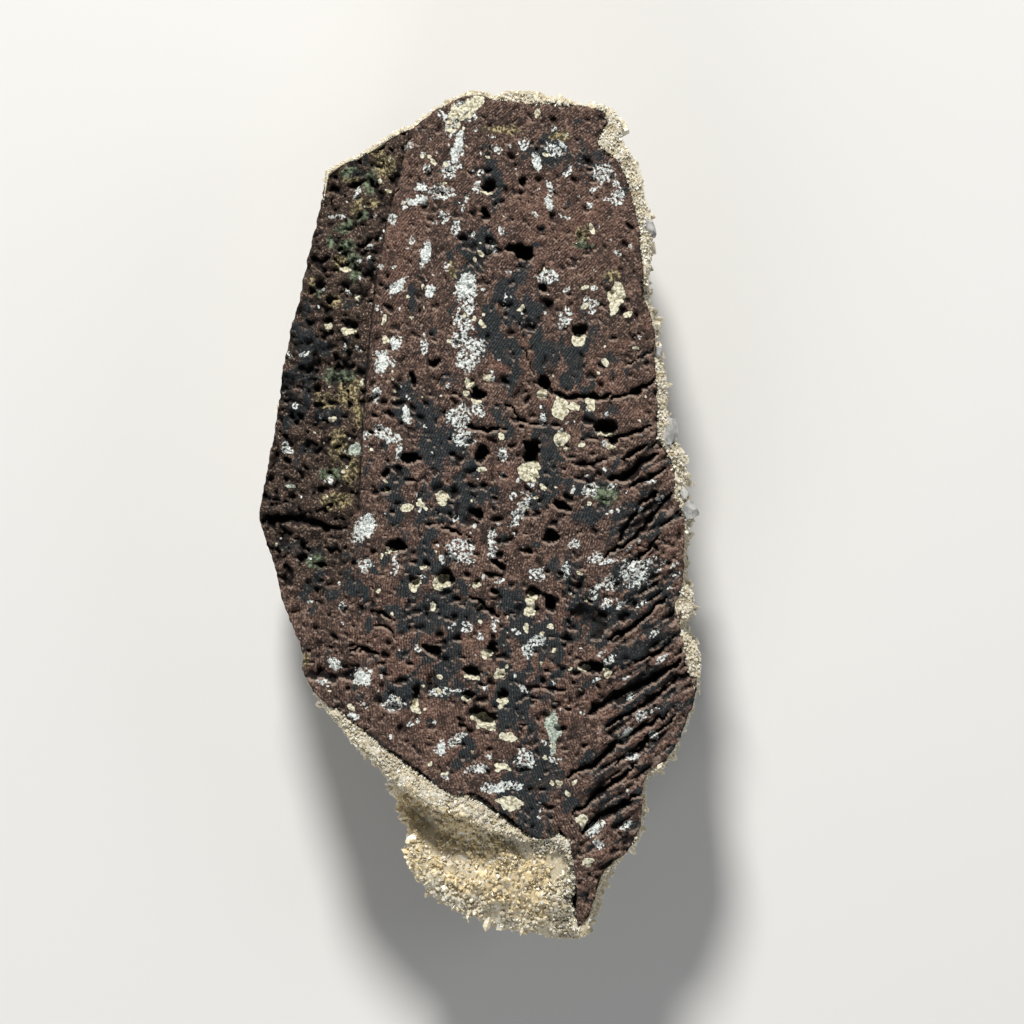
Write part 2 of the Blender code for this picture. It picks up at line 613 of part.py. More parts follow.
def centre_over_origin():
    """Moves everything so that the whole stone's box is centred over the origin and stands on the ground."""
    bpy.context.view_layer.update()
    corners = [thing.matrix_world @ corner.co for thing in bpy.data.objects for corner in thing.data.vertices]
    low = Vector([min(corner[axis] for corner in corners) for axis in range(3)])
    high = Vector([max(corner[axis] for corner in corners) for axis in range(3)])
    shift = Vector((-(low.x + high.x) / 2, -(low.y + high.y) / 2, -low.z))
    for thing in bpy.data.objects:
        thing.location += shift
    print("moved by", [round(1000 * step, 3) for step in shift], "mm")


clear_scene()
make_basalt()
make_crust()
make_rosettes()
centre_over_origin()
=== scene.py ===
# %% [markdown]
# # A cavansite specimen, lying on its crystals with its sawn back up
# The stone is a slab of dark, bubbly basalt. Its back was sawn flat, and a crust of small zeolite crystals wraps
# everything else, with balls of blue cavansite in it. The solids come from the CAD model. This lesson dresses them:
# the sawn rock gets its real relief and colours, the crust gets thousands of crystals, and the balls get their blades.

# %% Load the frame
import math
import random
import bmesh
import bpy
import numpy as np
from mathutils import Matrix, Vector
from mathutils.bvhtree import BVHTree


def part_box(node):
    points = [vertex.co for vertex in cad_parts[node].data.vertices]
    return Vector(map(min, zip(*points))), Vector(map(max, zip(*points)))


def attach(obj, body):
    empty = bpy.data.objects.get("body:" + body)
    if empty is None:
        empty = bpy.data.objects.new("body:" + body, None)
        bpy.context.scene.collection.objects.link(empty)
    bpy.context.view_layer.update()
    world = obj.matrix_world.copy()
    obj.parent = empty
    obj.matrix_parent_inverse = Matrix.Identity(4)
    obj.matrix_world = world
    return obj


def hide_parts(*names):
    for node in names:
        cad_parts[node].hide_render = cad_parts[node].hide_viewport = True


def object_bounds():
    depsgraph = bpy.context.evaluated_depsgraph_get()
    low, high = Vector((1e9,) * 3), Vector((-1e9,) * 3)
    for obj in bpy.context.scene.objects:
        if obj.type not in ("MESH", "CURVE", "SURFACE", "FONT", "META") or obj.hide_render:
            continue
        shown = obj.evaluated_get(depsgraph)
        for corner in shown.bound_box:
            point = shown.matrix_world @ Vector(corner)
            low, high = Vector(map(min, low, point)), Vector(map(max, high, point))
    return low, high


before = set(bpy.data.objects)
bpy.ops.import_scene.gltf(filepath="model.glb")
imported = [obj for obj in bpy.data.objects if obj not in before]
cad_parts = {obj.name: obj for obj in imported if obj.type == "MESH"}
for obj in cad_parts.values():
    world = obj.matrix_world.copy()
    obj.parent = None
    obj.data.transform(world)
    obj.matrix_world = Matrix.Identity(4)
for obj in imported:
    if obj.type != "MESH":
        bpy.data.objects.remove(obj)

cad_low, cad_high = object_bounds()
print("CAD box in mm:", [round(1000 * (high - low), 1) for low, high in zip(cad_low, cad_high)])

# %% [markdown]
# ## Where things are
# The sawn face was read from a photograph taken straight down on it, so its features are given in that picture's
# columns and rows. One pixel is a seventh of a millimetre. Two small functions turn a place in the picture into a place
# on the stone, which keeps every table below readable beside the picture.

# %% Turn picture places into metres
LENGTH = 0.122
LENGTH_IN_PIXELS = 855
PIXEL = LENGTH / LENGTH_IN_PIXELS
PICTURE_SIDE = 1024
MIDDLE_COLUMN, MIDDLE_ROW = 479.58, 516.34
SAWN_HEIGHT = 0.034
HAIR = 0.00002


def metres(columns, rows):
    """How far right and how far up a place of the picture lies on the stone."""
    return (columns - MIDDLE_COLUMN) * PIXEL, (MIDDLE_ROW - rows) * PIXEL


def spot(column, row, height=SAWN_HEIGHT):
    x, y = metres(column, row)
    return Vector((x, y, height))


print("one pixel is", round(1000 * PIXEL, 4), "mm")

# %% [markdown]
# ## Camera
# The picture was taken from straight above, with a long lens, so the camera hangs 0.7 m over the sawn face. At that
# distance the width of the view must be 1024 pixels, and that gives the focal length. No shift is needed, because the
# lens simply looks at the picture's own middle.

# %% Hang the camera over the stone
VIEW_DISTANCE = 0.7
SENSOR_WIDTH = 36
camera_data = bpy.data.cameras.new("camera")
camera_data.sensor_width = SENSOR_WIDTH
camera_data.lens = SENSOR_WIDTH * VIEW_DISTANCE / (PICTURE_SIDE * PIXEL)
camera = bpy.data.objects.new("camera", camera_data)
camera.location = spot(PICTURE_SIDE / 2, PICTURE_SIDE / 2, SAWN_HEIGHT + VIEW_DISTANCE)
bpy.context.scene.collection.objects.link(camera)
bpy.context.scene.camera = camera
print("lens", round(camera_data.lens, 1), "mm")

# %% [markdown]
# ## Light and floor
# The relief of a sawn rock only shows under light that rakes across it. A real photographer puts the lamp beyond the
# top of the stone, so every gas hole has a black upper half and a lit lower lip. Here that lamp is a soft area light,
# helped by two weak ones, over a plain pale floor.

# %% Light the stone and lay the floor
def soft_light(name, direction, distance, size, power, colour=(1, 1, 1)):
    """An area light in this direction from the stone, turned to face it."""
    data = bpy.data.lights.new(name, "AREA")
    data.shape = "DISK"
    data.size = size
    data.energy = power
    data.color = colour
    light = bpy.data.objects.new(name, data)
    way = Vector(direction).normalized()
    light.location = way * distance + Vector((0, 0, 0.02))
    light.rotation_euler = way.to_track_quat("Z", "Y").to_euler()
    bpy.context.scene.collection.objects.link(light)


soft_light("lamp beyond the top", (-0.12, 0.74, 0.66), 1.2, 0.22, 23.5, (1, 0.97, 0.93))
soft_light("weak lamp at the right", (0.85, 0.1, 0.7), 0.7, 0.4, 0.6)
soft_light("weak lamp below the pointed end", (-0.3, -0.85, 0.5), 0.7, 0.4, 1.7)

world = bpy.data.worlds.new("studio")
world.use_nodes = True
world.node_tree.nodes["Background"].inputs["Color"].default_value = (0.9, 0.94, 1, 1)
world.node_tree.nodes["Background"].inputs["Strength"].default_value = 0.15
bpy.context.scene.world = world
bpy.context.scene.view_settings.view_transform = "Standard"

floor_mesh = bpy.data.meshes.new("floor")
floor_mesh.from_pydata([(-3, -3, 0), (3, -3, 0), (3, 3, 0), (-3, 3, 0)], [], [(0, 1, 2, 3)])
floor = bpy.data.objects.new("floor", floor_mesh)
bpy.context.scene.collection.objects.link(floor)
floor_finish = bpy.data.materials.new("pale floor")
floor_finish.use_nodes = True
floor_shader = floor_finish.node_tree.nodes["Principled BSDF"]
floor_shader.inputs["Base Color"].default_value = (0.6, 0.6, 0.59, 1)
floor_shader.inputs["Roughness"].default_value = 0.9
floor_mesh.materials.append(floor_finish)
print("three lamps and a floor")

# %% [markdown]
# ## The outlines
# Two outlines describe the stone from above: the edge of the sawn basalt, and the outer edge of the crust. Both were
# read point by point. Each is then cut into short pieces and roughened a little, because broken rock has no straight
# edges. The crust's outline runs inside the basalt's on the left, where no crust shows.

# %% Read the outlines
BASALT_EDGE = (
    (326, 172), (341, 163), (357, 157), (373, 148), (390, 136), (403, 130), (413, 128), (425, 118), (441, 107),
    (456, 99), (468, 96), (482, 97), (500, 100), (515, 103), (530, 106), (548, 105), (565, 106), (577, 106),
    (590, 107), (604, 112), (608, 122), (600, 133), (598, 143), (606, 155), (619, 161), (625, 177), (631, 193),
    (634, 207), (638, 222), (640, 240), (641, 256), (644, 272), (640, 286), (643, 298), (650, 312), (654, 330),
    (655, 345), (654, 358), (656, 375), (657, 392), (657, 408), (656, 422), (656, 440), (661, 447), (668, 452),
    (672, 460), (674, 470), (675, 480), (674, 490), (677, 500), (682, 508), (684, 516), (684, 533), (684, 550),
    (684, 568), (682, 584), (680, 600), (682, 615), (680, 628), (684, 645), (686, 660), (690, 672), (697, 680),
    (696, 697), (690, 714), (684, 728), (679, 740), (671, 753), (664, 764), (655, 767), (647, 773), (643, 785),
    (642, 800), (642, 815), (640, 830), (636, 842), (628, 853), (616, 861), (606, 869), (598, 880), (596, 895),
    (591, 910), (585, 922), (578, 928), (577, 905), (577, 880), (573, 858), (570, 840), (560, 830), (548, 838),
    (535, 838), (525, 832), (510, 818), (500, 812), (487, 800), (470, 793), (455, 795), (440, 788), (420, 770),
    (400, 757), (380, 743), (360, 726), (340, 711), (320, 698), (310, 686), (302, 670), (303, 657), (299, 642),
    (291, 627), (286, 612), (281, 600), (276, 585), (272, 570), (267, 558), (260, 545), (253, 527), (250, 515),
    (253, 500), (258, 480), (263, 460), (268, 440), (272, 424), (276, 405), (279, 385), (282, 365), (287, 345),
    (290, 325), (295, 312), (300, 295), (303, 275), (307, 255), (312, 235), (317, 215), (321, 198), (324, 184),
)
CRUST_EDGE = (
    (326, 171), (340, 161), (356, 154), (372, 144), (390, 132), (402, 126), (413, 124), (424, 113), (440, 103),
    (456, 94), (468, 91), (480, 90), (490, 94), (506, 92), (518, 90), (532, 91), (546, 97), (560, 99), (574, 102),
    (586, 103), (597, 105), (610, 108), (618, 116), (621, 128), (622, 142), (630, 152), (635, 166), (641, 184),
    (644, 200), (646, 214), (653, 221), (651, 234), (649, 250), (649, 280), (652, 300), (656, 320), (659, 345),
    (662, 362), (666, 385), (665, 412), (668, 416), (675, 423), (677, 432), (677, 440), (674, 444), (682, 455),
    (686, 464), (688, 472), (685, 484), (686, 492), (685, 499), (690, 503), (696, 509), (695, 520), (687, 538),
    (687, 565), (685, 584), (693, 592), (693, 608), (684, 628), (693, 642), (701, 658), (702, 672), (700, 690),
    (695, 705), (688, 725), (683, 740), (675, 752), (663, 770), (655, 768), (647, 777), (645, 785), (646, 812),
    (641, 835), (633, 848), (625, 858), (612, 868), (603, 877), (598, 892), (592, 908), (586, 922), (580, 935),
    (573, 943), (563, 945), (555, 940), (550, 934), (535, 934), (520, 935), (503, 933), (495, 929), (480, 922),
    (460, 914), (445, 907), (432, 900), (425, 892), (418, 882), (410, 872), (408, 862), (408, 850), (412, 842),
    (404, 820), (400, 800), (396, 790), (378, 763), (350, 738), (328, 710), (314, 694), (318, 660), (300, 610),
    (285, 560), (268, 520), (275, 470), (290, 400), (305, 320), (322, 240), (334, 180),
)


def soft_noise(x, y, grain, seed=0):
    """Smooth noise from about -1 to 1, with lumps of this grain."""
    u, v = x / grain, y / grain
    i, j = np.floor(u), np.floor(v)
    f, g = u - i, v - j
    f, g = f * f * (3 - 2 * f), g * g * (3 - 2 * g)

    def post(a, b):
        return np.mod(np.sin(a * 127.1 + b * 311.7 + seed * 74.7) * 43758.5453, 1) * 2 - 1

    low = post(i, j) * (1 - f) + post(i + 1, j) * f
    high = post(i, j + 1) * (1 - f) + post(i + 1, j + 1) * f
    return low * (1 - g) + high * g


def two_grains(x, y, first, second, share, seed):
    """Noise of one grain with a share of another on top."""
    return soft_noise(x, y, first, seed) + share * soft_noise(x, y, second, seed + 1)


def roughened(outline, amount, seed, inset=0.0):
    """The outline in pieces of about three pixels, each end moved a little, and all of it inwards by the inset."""
    corners = np.array(outline, float)
    places = []
    for start, end in zip(corners, np.roll(corners, -1, axis=0)):
        length = np.hypot(*(end - start))
        normal = np.array([end[1] - start[1], start[0] - end[0]]) / length
        count = max(1, round(length / 3))
        for k in range(count):
            place = start + (end - start) * k / count
            places.append(place + normal * (amount * two_grains(*place, 5.0, 2.5, 0.5, seed) - inset))
    return np.array(places)


basalt_edge = roughened(BASALT_EDGE, 1.3, 1)
crust_edge = roughened(CRUST_EDGE, 1.2, 2, inset=2.2)
print(len(basalt_edge), "points on the basalt's edge,", len(crust_edge), "on the crust's")

# %% [markdown]
# ## One grid for the whole top
# Both the rock and the top of the crust are made from one fine grid of heights that covers the picture of the
# stone, with a point every quarter of a millimetre. For every point we need to know how far it lies inside each
# outline, so that cells can be kept or dropped and the border can be pulled onto the true edge.

# %% Lay the grid and measure its distance to the outlines
CELL = 1.77
columns, rows = np.meshgrid(np.arange(240, 712, CELL), np.arange(82, 954, CELL))


def edge_distance(x, y, outline):
    """Each place's distance to an outline, negative inside, and the nearest point of that outline."""
    nearest = np.full(x.shape, 1e9)
    edge_x, edge_y = x.copy(), y.copy()
    inside = np.zeros(x.shape, bool)
    for start, end in zip(outline, np.roll(outline, -1, axis=0)):
        along = end - start
        share = np.clip(((x - start[0]) * along[0] + (y - start[1]) * along[1]) / (along @ along), 0, 1)
        near_x, near_y = start[0] + share * along[0], start[1] + share * along[1]
        away = np.hypot(x - near_x, y - near_y)
        closer = away < nearest
        nearest = np.where(closer, away, nearest)
        edge_x, edge_y = np.where(closer, near_x, edge_x), np.where(closer, near_y, edge_y)
        if start[1] != end[1]:
            crossing = x < start[0] + (y - start[1]) * along[0] / along[1]
            inside ^= ((start[1] > y) != (end[1] > y)) & crossing
    return np.where(inside, -nearest, nearest), edge_x, edge_y


basalt_away, basalt_near_x, basalt_near_y = edge_distance(columns, rows, basalt_edge)
crust_away, crust_near_x, crust_near_y = edge_distance(columns, rows, crust_edge)
plain_away = edge_distance(columns, rows, np.array(BASALT_EDGE, float))[0]
print("grid of", columns.shape, "points,", int((basalt_away < 0).sum()), "of them on the basalt")

# %% [markdown]
# ## The relief of the sawn face
# Gas bubbles froze in the lava, and the saw cut them open. The CAD solid has every large hole and groove, but with
# plain facets. Dropping a ray onto it at slightly wandering places turns the round cutters into ragged natural
# holes, because the wandering bends each rim. Fine roughness and about a thousand tiny holes are added on top.

# %% Drop rays onto the CAD solids
graph = bpy.context.evaluated_depsgraph_get()
basalt_tree = BVHTree.FromObject(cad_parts["basalt_matrix"], graph)
crust_tree = BVHTree.FromObject(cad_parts["zeolite_crust"], graph)
RAY_HEIGHT = 0.06
LOWEST_TOP = 0.02


def ramp(value, start, width):
    """0 up to the start, then rising to 1 over this width."""
    return np.clip((value - start) / width, 0, 1)


calm = ramp(-plain_away, 0, 10)
wander_x = calm * (2.6 * soft_noise(columns, rows, 9, 3) + 1.5 * soft_noise(columns, rows, 4.2, 4))
wander_y = calm * (2.2 * soft_noise(columns, rows, 8, 5) + 1.4 * soft_noise(columns, rows, 4.0, 6))


def heights_on(tree, x, y, wanted):
    """The height of the tree's top surface at each wanted place, and no number where the ray misses."""
    found = np.full(x.shape, np.nan)
    for index in zip(*np.nonzero(wanted)):
        across, up = metres(x[index], y[index])
        hit = tree.ray_cast(Vector((across, up, RAY_HEIGHT)), Vector((0, 0, -1)))[0]
        if hit is not None and hit.z > LOWEST_TOP:
            found[index] = hit.z
    return found


def neighbours(field):
    """The field moved by one cell in each of the four directions."""
    padded = np.pad(field, 1, mode="edge")
    return padded[:-2, 1:-1], padded[2:, 1:-1], padded[1:-1, :-2], padded[1:-1, 2:]


def filled(field, wanted):
    """The field with its missing numbers grown in from their neighbours."""
    field = field.copy()
    for _ in range(40):
        missing = np.isnan(field) & wanted
        if not missing.any():
            break
        beside = np.stack(neighbours(field))
        known = ~np.isnan(beside)
        total = np.where(known, beside, 0).sum(axis=0)
        ready = missing & known.any(axis=0)
        field[ready] = total[ready] / known.sum(axis=0)[ready]
    return np.where(np.isnan(field), 0.0, field)


basalt_height = heights_on(basalt_tree, columns + wander_x, rows + wander_y, plain_away < -1.3)
basalt_height = filled(basalt_height, basalt_away < 2 * CELL)
print("lowest point of the sawn face", round(1000 * (SAWN_HEIGHT - basalt_height[basalt_away < 0].min()), 1), "mm down")

# %% [markdown]
# The sawn plane without its holes is needed as well, to know how deep each hole is. Closing the relief gives it:
# first each point takes the highest height around it, then the lowest of those.

# %% Find the plane without its holes
def spread(field, steps, chooser):
    """The field after each point took its neighbours' highest or lowest number, step by step."""
    for _ in range(steps):
        field = chooser.reduce([field, *neighbours(field)])
    return field


CLOSING_STEPS = 8
plane_height = spread(spread(basalt_height, CLOSING_STEPS, np.maximum), CLOSING_STEPS, np.minimum)
hole_depth = 1.5 * np.clip(plane_height - basalt_height, 0, 0.004)
print("deepest hole:", round(1000 * float(hole_depth.max()), 1), "mm")

# %% [markdown]
# Two parts of the face differ from the rest. A tilted facet at the lower right is torn, and its furrows run up to the
# right. A strip on the left lies beyond a step in the saw cut. Each gets a field that says how much a point belongs to
# it, and turned axes let furrows run their own way.

# %% Mark the facet and the strip
RIDGE = np.array(((655, 330), (640, 440), (603, 520), (598, 600), (592, 680), (571, 850)), float)
STEP_LINE = np.array(((414, 100), (408, 140), (400, 168), (386, 225), (376, 280), (369, 345), (363, 420), (359, 500),
                      (345, 590), (300, 690)), float)


def turned(turn, x, y):
    """Places in axes that are turned by this angle."""
    return x * math.cos(turn) + y * math.sin(turn), y * math.cos(turn) - x * math.sin(turn)


ridge_column = np.interp(rows, RIDGE[:, 1], RIDGE[:, 0])
step_column = np.interp(rows, STEP_LINE[:, 1], STEP_LINE[:, 0])
facet = ramp(columns, ridge_column, 16) * ramp(rows, 320, 40)
strip = ramp(step_column, columns, 3) * ramp(620, rows, 60)
along, across = turned(math.radians(-34), columns, rows)
tear_x, tear_y = turned(math.radians(9), columns, rows)
print("facet:", int((facet > 0.5).sum()), "points, strip:", int((strip > 0.5).sum()))

# %% Tear furrows and break out chips
furrows = soft_noise(along, across * 5.2, 26, 7) + 0.5 * soft_noise(along, across * 3.5, 12, 8)
ridges = ramp(-furrows, 0.15, 0.5) * facet
furrows = ramp(furrows, 0.3, 0.5) * facet
# Thin lines along the facet's furrows, where their edges catch the lamp, for a painted highlight
lit_furrow_lines = ramp(soft_noise(along, across * 5.5, 15, 19), 0.45, 0.3) * facet

# Between the large holes the rock is torn along short level furrows, and small chips broke out everywhere
tears = soft_noise(tear_x, tear_y * 2.6, 15, 13) + 0.5 * soft_noise(tear_x, tear_y * 2.0, 7, 14)
middle = ramp(rows, 330, 80) * ramp(790, rows, 60)
tears = ramp(tears, 0.72, 0.3) * middle * (1 - facet)
TORN = (
    (585, 238, 24, 24), (592, 300, 28, 16), (632, 350, 22, 20), (505, 380, 28, 12), (415, 610, 46, 20),
    (350, 640, 28, 18), (610, 455, 28, 15), (560, 590, 24, 18), (480, 262, 16, 16), (460, 520, 36, 12),
)


def blot(column, row, wide, tall):
    """A soft spot, 1 at its middle."""
    return np.exp(-((columns - column) / wide) ** 2 - ((rows - row) / tall) ** 2)


torn = np.clip(sum(blot(*place) for place in TORN), 0, 1)
chips = two_grains(across, along, 3.4, 8, 0.6, 15)
chips += 0.3 * strip + 0.15 * facet + 0.36 * torn
chips = ramp(chips, 0.58, 0.4)
pits = ramp(two_grains(across, along, 9, 4, 0.6, 17), 0.38, 0.4) * strip

# A saw cut that stopped a little deeper leaves a thin groove along the strip, and painted shade makes it a dark line
saw_line = np.exp(-((columns - step_column + 0.5) / 1.4) ** 2) * ramp(560, rows, 60)
print("chipped:", round(100 * float(chips[basalt_away < 0].mean()), 1), "% of the face")

# %% Press them all into the relief
fine = (soft_noise(along, across, 4.5, 9) + 0.7 * soft_noise(tear_x, tear_y, 3.2, 10)) / 1.7
lumpy = two_grains(columns, rows, 15, 7, 0.6, 11)
relief = plane_height - hole_depth + (0.00004 + 0.00012 * torn) * fine
relief -= 0.0009 * furrows + 0.0008 * tears + 0.00045 * chips + 0.0006 * saw_line + 0.0012 * pits
relief += ((strip + 0.4 * torn) * (0.0007 * lumpy + 0.0002 * fine - 0.0003)
           + facet * (0.00022 * lumpy + 0.00012 * fine))
relief += 0.0003 * ridges
relief = np.minimum(relief, SAWN_HEIGHT - HAIR)

# Painted shade: holes are coloured darker the deeper they are, and furrows, tears, chips, pits and the saw line darker
# too, where the lamp's light doesn't reach
shadow = ramp(hole_depth, 0, 0.0011)
for part, weight in ((furrows, 0.75), (tears, 0.8), (chips, 0.6), (saw_line, 0.8), (pits, 0.85)):
    shadow = np.maximum(shadow, weight * part)
# The broad shallow hollow left of the facet gets less painted shade, so it shows slate, not black
shadow *= 1 - 0.75 * blot(588, 622, 17, 13)
print("holes, furrows and chips:", round(100 * float((shadow[basalt_away < 0] > 0.4).mean()), 1), "% of the face")

# %% [markdown]
# About a thousand tiny gas holes are scattered over the face. Each is a small bowl pressed into the grid of heights.
# Some were later filled with cream or white minerals. These stay flat, and two fields colour them.

# %% Press in the tiny holes
TINY_TRIES = 1950
chance = random.Random(11)
tiny_fill, tiny_white = np.zeros(columns.shape), np.zeros(columns.shape)
tiny_count = 0


def around(column, row, reach):
    """The block of the grid within this reach of a place."""
    i0 = max(0, int((row - reach - rows[0, 0]) / CELL))
    j0 = max(0, int((column - reach - columns[0, 0]) / CELL))
    count = int(2 * reach / CELL) + 3
    return slice(i0, i0 + count), slice(j0, j0 + count)


def raise_to(layer, block, values):
    """Lifts a block of the layer to these values, cut off at 0 and 1, where they are higher."""
    layer[block] = np.maximum(layer[block], np.clip(values, 0, 1))


for _ in range(TINY_TRIES):
    column, row = chance.uniform(250, 700), chance.uniform(95, 930)
    block = around(column, row, 1)
    if basalt_away[block].size == 0 or basalt_away[block].max() > -4 or hole_depth[block].max() > 0.0003:
        continue
    tiny_count += 1
    size = 1.1 + 2.6 * chance.random() ** 2.2
    stretch, turn = chance.uniform(1, 2.2), chance.uniform(0, math.pi)
    block = around(column, row, 3 * size + 4)
    dx, dy = columns[block] + 0.5 * wander_x[block] - column, rows[block] + 0.5 * wander_y[block] - row
    long_way, short_way = turned(turn, dx, dy)
    away = np.hypot(long_way / stretch, short_way)
    kind = chance.random()
    if facet[block].max() > 0.8 and kind < 0.5:
        # On the facet the fillings are drawn out along the furrows
        away = np.hypot((dx * 0.83 - dy * 0.56) / 2.6, dx * 0.56 + dy * 0.83)
        raise_to(tiny_white, block, 1.5 - away / size)
    elif kind < 0.13:
        raise_to(tiny_fill, block, 1.4 - away / size)
    elif kind < 0.37:
        raise_to(tiny_white, block, 1.5 - away / size)
    else:
        bowl = np.sqrt(np.clip(1 - (away / (1.15 * size)) ** 2, 0, 1))
        relief[block] -= 0.0003 * size * bowl
        # Painted shade darkens the open tiny hole
        raise_to(shadow, block, chance.uniform(0.35, 0.85) * bowl)
print(tiny_count, "tiny holes and fillings")

# %% [markdown]
# The lamp beyond the top catches the lower lip of each hollow, so a painted highlight makes it paler. It is found by
# sliding the shadows down by one point and keeping what the shadows themselves don't cover.

# %% Find the lit lips, a painted highlight
def from_above(layer):
    """The layer moved down by one row."""
    return np.pad(layer, ((1, 0), (0, 0)), mode="edge")[:-1]


lit_lip_highlight = np.clip(from_above(shadow) - shadow, 0, 1)
lit_lip_highlight = np.clip(1.6 * lit_lip_highlight + 0.8 * from_above(lit_lip_highlight), 0, 1) * (shadow < 0.35)
# The lit lines on the facet join the painted highlight of the lips
lit_lip_highlight = np.maximum(lit_lip_highlight * (1 - 0.4 * strip), 0.9 * lit_furrow_lines)
print("painted lit lips:", round(100 * float(lit_lip_highlight[basalt_away < 0].mean()), 1), "% of the face")

# %% [markdown]
# ## What colours the sawn face
# The rock is reddish brown, with patches where it is blue-grey, and its holes are filled with cream and white minerals,
# some green or ochre. These patches don't follow a rule, so they are read from the picture as ellipses: column, row,
# half width, half height and, where one is turned, its turn in degrees. Noise frays their edges.

# %% White speckled patches
WHITE = (
    (457, 148, 6, 16, 15), (450, 168, 7, 10, 15), (440, 192, 14, 7), (418, 201, 12, 4), (421, 187, 4, 5),
    (427, 168, 5, 5), (465, 204, 3, 11, 20), (477, 187, 4, 6), (393, 220, 5, 5), (443, 216, 5, 6),
    (425, 254, 5, 14, 15), (398, 286, 5, 12, 45), (430, 292, 5, 7), (466, 288, 10, 16, 10), (470, 307, 7, 6),
    (463, 323, 10, 8), (475, 345, 10, 8), (468, 360, 12, 12), (458, 340, 8, 8), (424, 343, 2.5, 13), (397, 343, 5, 7),
    (382, 362, 6, 12, 15), (375, 394, 6, 8), (407, 415, 4, 9, -10), (458, 417, 12, 10), (477, 410, 6, 8),
    (388, 434, 14, 6, 30), (398, 452, 3, 8), (460, 437, 10, 9), (365, 527, 10, 16, 30), (365, 565, 8, 7),
    (395, 565, 4, 10), (335, 665, 9, 6, 20), (362, 677, 10, 10), (393, 704, 7, 8), (365, 705, 4, 3), (440, 693, 10, 5),
    (460, 690, 12, 2, -10), (457, 740, 10, 5, -45), (441, 749, 5, 8), (482, 768, 7, 5), (471, 770, 10, 2.5, -10),
    (495, 787, 14, 5), (512, 785, 10, 5), (524, 760, 9, 10), (490, 757, 3, 3), (528, 650, 6, 9), (538, 640, 8, 5),
    (467, 627, 5, 6), (555, 148, 10, 8), (537, 162, 4, 9), (568, 172, 8, 3, -45), (603, 173, 10, 8), (617, 197, 6, 9),
    (549, 203, 4, 8, -20), (565, 218, 8, 2), (492, 248, 5, 8), (456, 230, 4, 10, 10), (548, 277, 10, 8),
    (590, 303, 10, 5, 40), (563, 322, 7, 6, -30), (502, 455, 6, 5), (521, 510, 5, 18, 30), (590, 490, 8, 6),
    (460, 550, 14, 12), (492, 545, 5, 14), (538, 573, 9, 6), (565, 570, 4, 8), (635, 572, 14, 14), (603, 560, 16, 4),
    (610, 583, 6, 8), (626, 735, 5, 9, 45), (642, 716, 5, 5), (632, 757, 6, 5), (655, 735, 5, 4),
    (595, 830, 10, 5, -35), (597, 845, 5, 5), (627, 825, 8, 4, -35), (651, 482, 4, 3), (660, 498, 4, 3),
    (640, 508, 4, 3), (608, 445, 4, 3), (288, 352, 3, 5), (330, 480, 4, 4), (343, 605, 5, 4), (467, 107, 14, 9, -25),
    (452, 125, 6, 9, 20), (470, 116, 6, 5), (352, 715, 6, 4), (520, 140, 4, 3), (497, 150, 3, 6), (590, 205, 4, 4),
    (413, 240, 3, 6, 10), (505, 300, 2, 9, 5), (448, 266, 3, 5), (520, 480, 3, 4), (575, 545, 5, 4), (495, 625, 4, 6),
)
print(len(WHITE), "white patches")

# %% Cream fillings, green and ochre patches
CREAM = (
    (528, 473, 11, 10), (578, 340, 7, 7), (468, 383, 5, 5), (478, 402, 5, 3), (487, 378, 4, 4), (442, 583, 9, 7, -10),
    (415, 586, 5, 6), (425, 567, 4, 2.5), (476, 585, 4, 3), (531, 600, 6, 8), (530, 613, 6, 5), (487, 654, 6, 4),
    (466, 699, 6, 3), (503, 701, 5, 4), (484, 722, 15, 6, 22), (415, 706, 5, 8), (500, 674, 5, 4), (585, 669, 7, 4),
    (608, 673, 4, 6), (482, 470, 5, 3), (543, 392, 5, 4, 30), (611, 447, 5, 3), (328, 326, 5, 3), (350, 331, 8, 4),
    (386, 492, 4, 2.5), (616, 298, 7, 18, 5), (560, 408, 7, 12), (573, 407, 5, 5), (590, 404, 5, 6), (562, 438, 8, 8),
    (442, 498, 7, 6), (407, 507, 6, 4, -15), (421, 505, 6, 3.5, 15), (502, 768, 8, 4), (588, 862, 6, 4),
    (507, 737, 10, 5, 15), (559, 783, 4, 2.5), (510, 803, 14, 6, 10), (582, 822, 5, 9), (393, 552, 8, 2),
    (532, 466, 9, 5), (606, 434, 9, 2), (472, 678, 8, 2.5), (451, 131, 4, 3), (461, 108, 7, 3, -25),
    (474, 103, 11, 6, -20), (467, 115, 9, 4, -45), (452, 111, 3, 8, 10), (458, 126, 4, 5, 20), (450, 120, 3, 6, 20),
    (385, 340, 3, 5), (362, 382, 3, 5), (486, 193, 6, 2),
)
PALE_GREEN = (
    (553, 728, 7, 17, -5), (553, 750, 3, 6), (290, 485, 4, 3), (355, 450, 7, 6),
)
SOLID_WHITE = (
    (398, 286, 5, 12, 45), (430, 292, 5, 7), (425, 254, 5, 12, 15), (393, 345, 4, 6), (382, 362, 5, 10, 15),
    (418, 201, 9, 3), (421, 187, 4, 4), (407, 415, 3, 7, -10), (537, 162, 3, 8), (466, 284, 7, 11, 10),
    (626, 735, 3, 8, 45), (365, 527, 7, 12, 30), (441, 749, 4, 6), (497, 787, 8, 3), (482, 768, 5, 3),
    (549, 203, 3, 6, -20), (362, 677, 5, 6), (335, 665, 4, 3, 20), (457, 148, 4, 12, 15), (595, 830, 6, 3, -35),
)
GREEN = (
    (370, 180, 8, 14), (347, 170, 8, 6), (345, 245, 10, 8), (352, 262, 9, 12, -30), (330, 240, 6, 6),
    (345, 225, 12, 5, -20), (345, 375, 10, 6), (362, 215, 7, 5), (318, 290, 5, 6), (355, 270, 6, 12),
    (335, 375, 14, 8), (315, 560, 10, 8), (330, 475, 12, 6), (583, 245, 8, 5), (603, 494, 15, 9, 15),
)
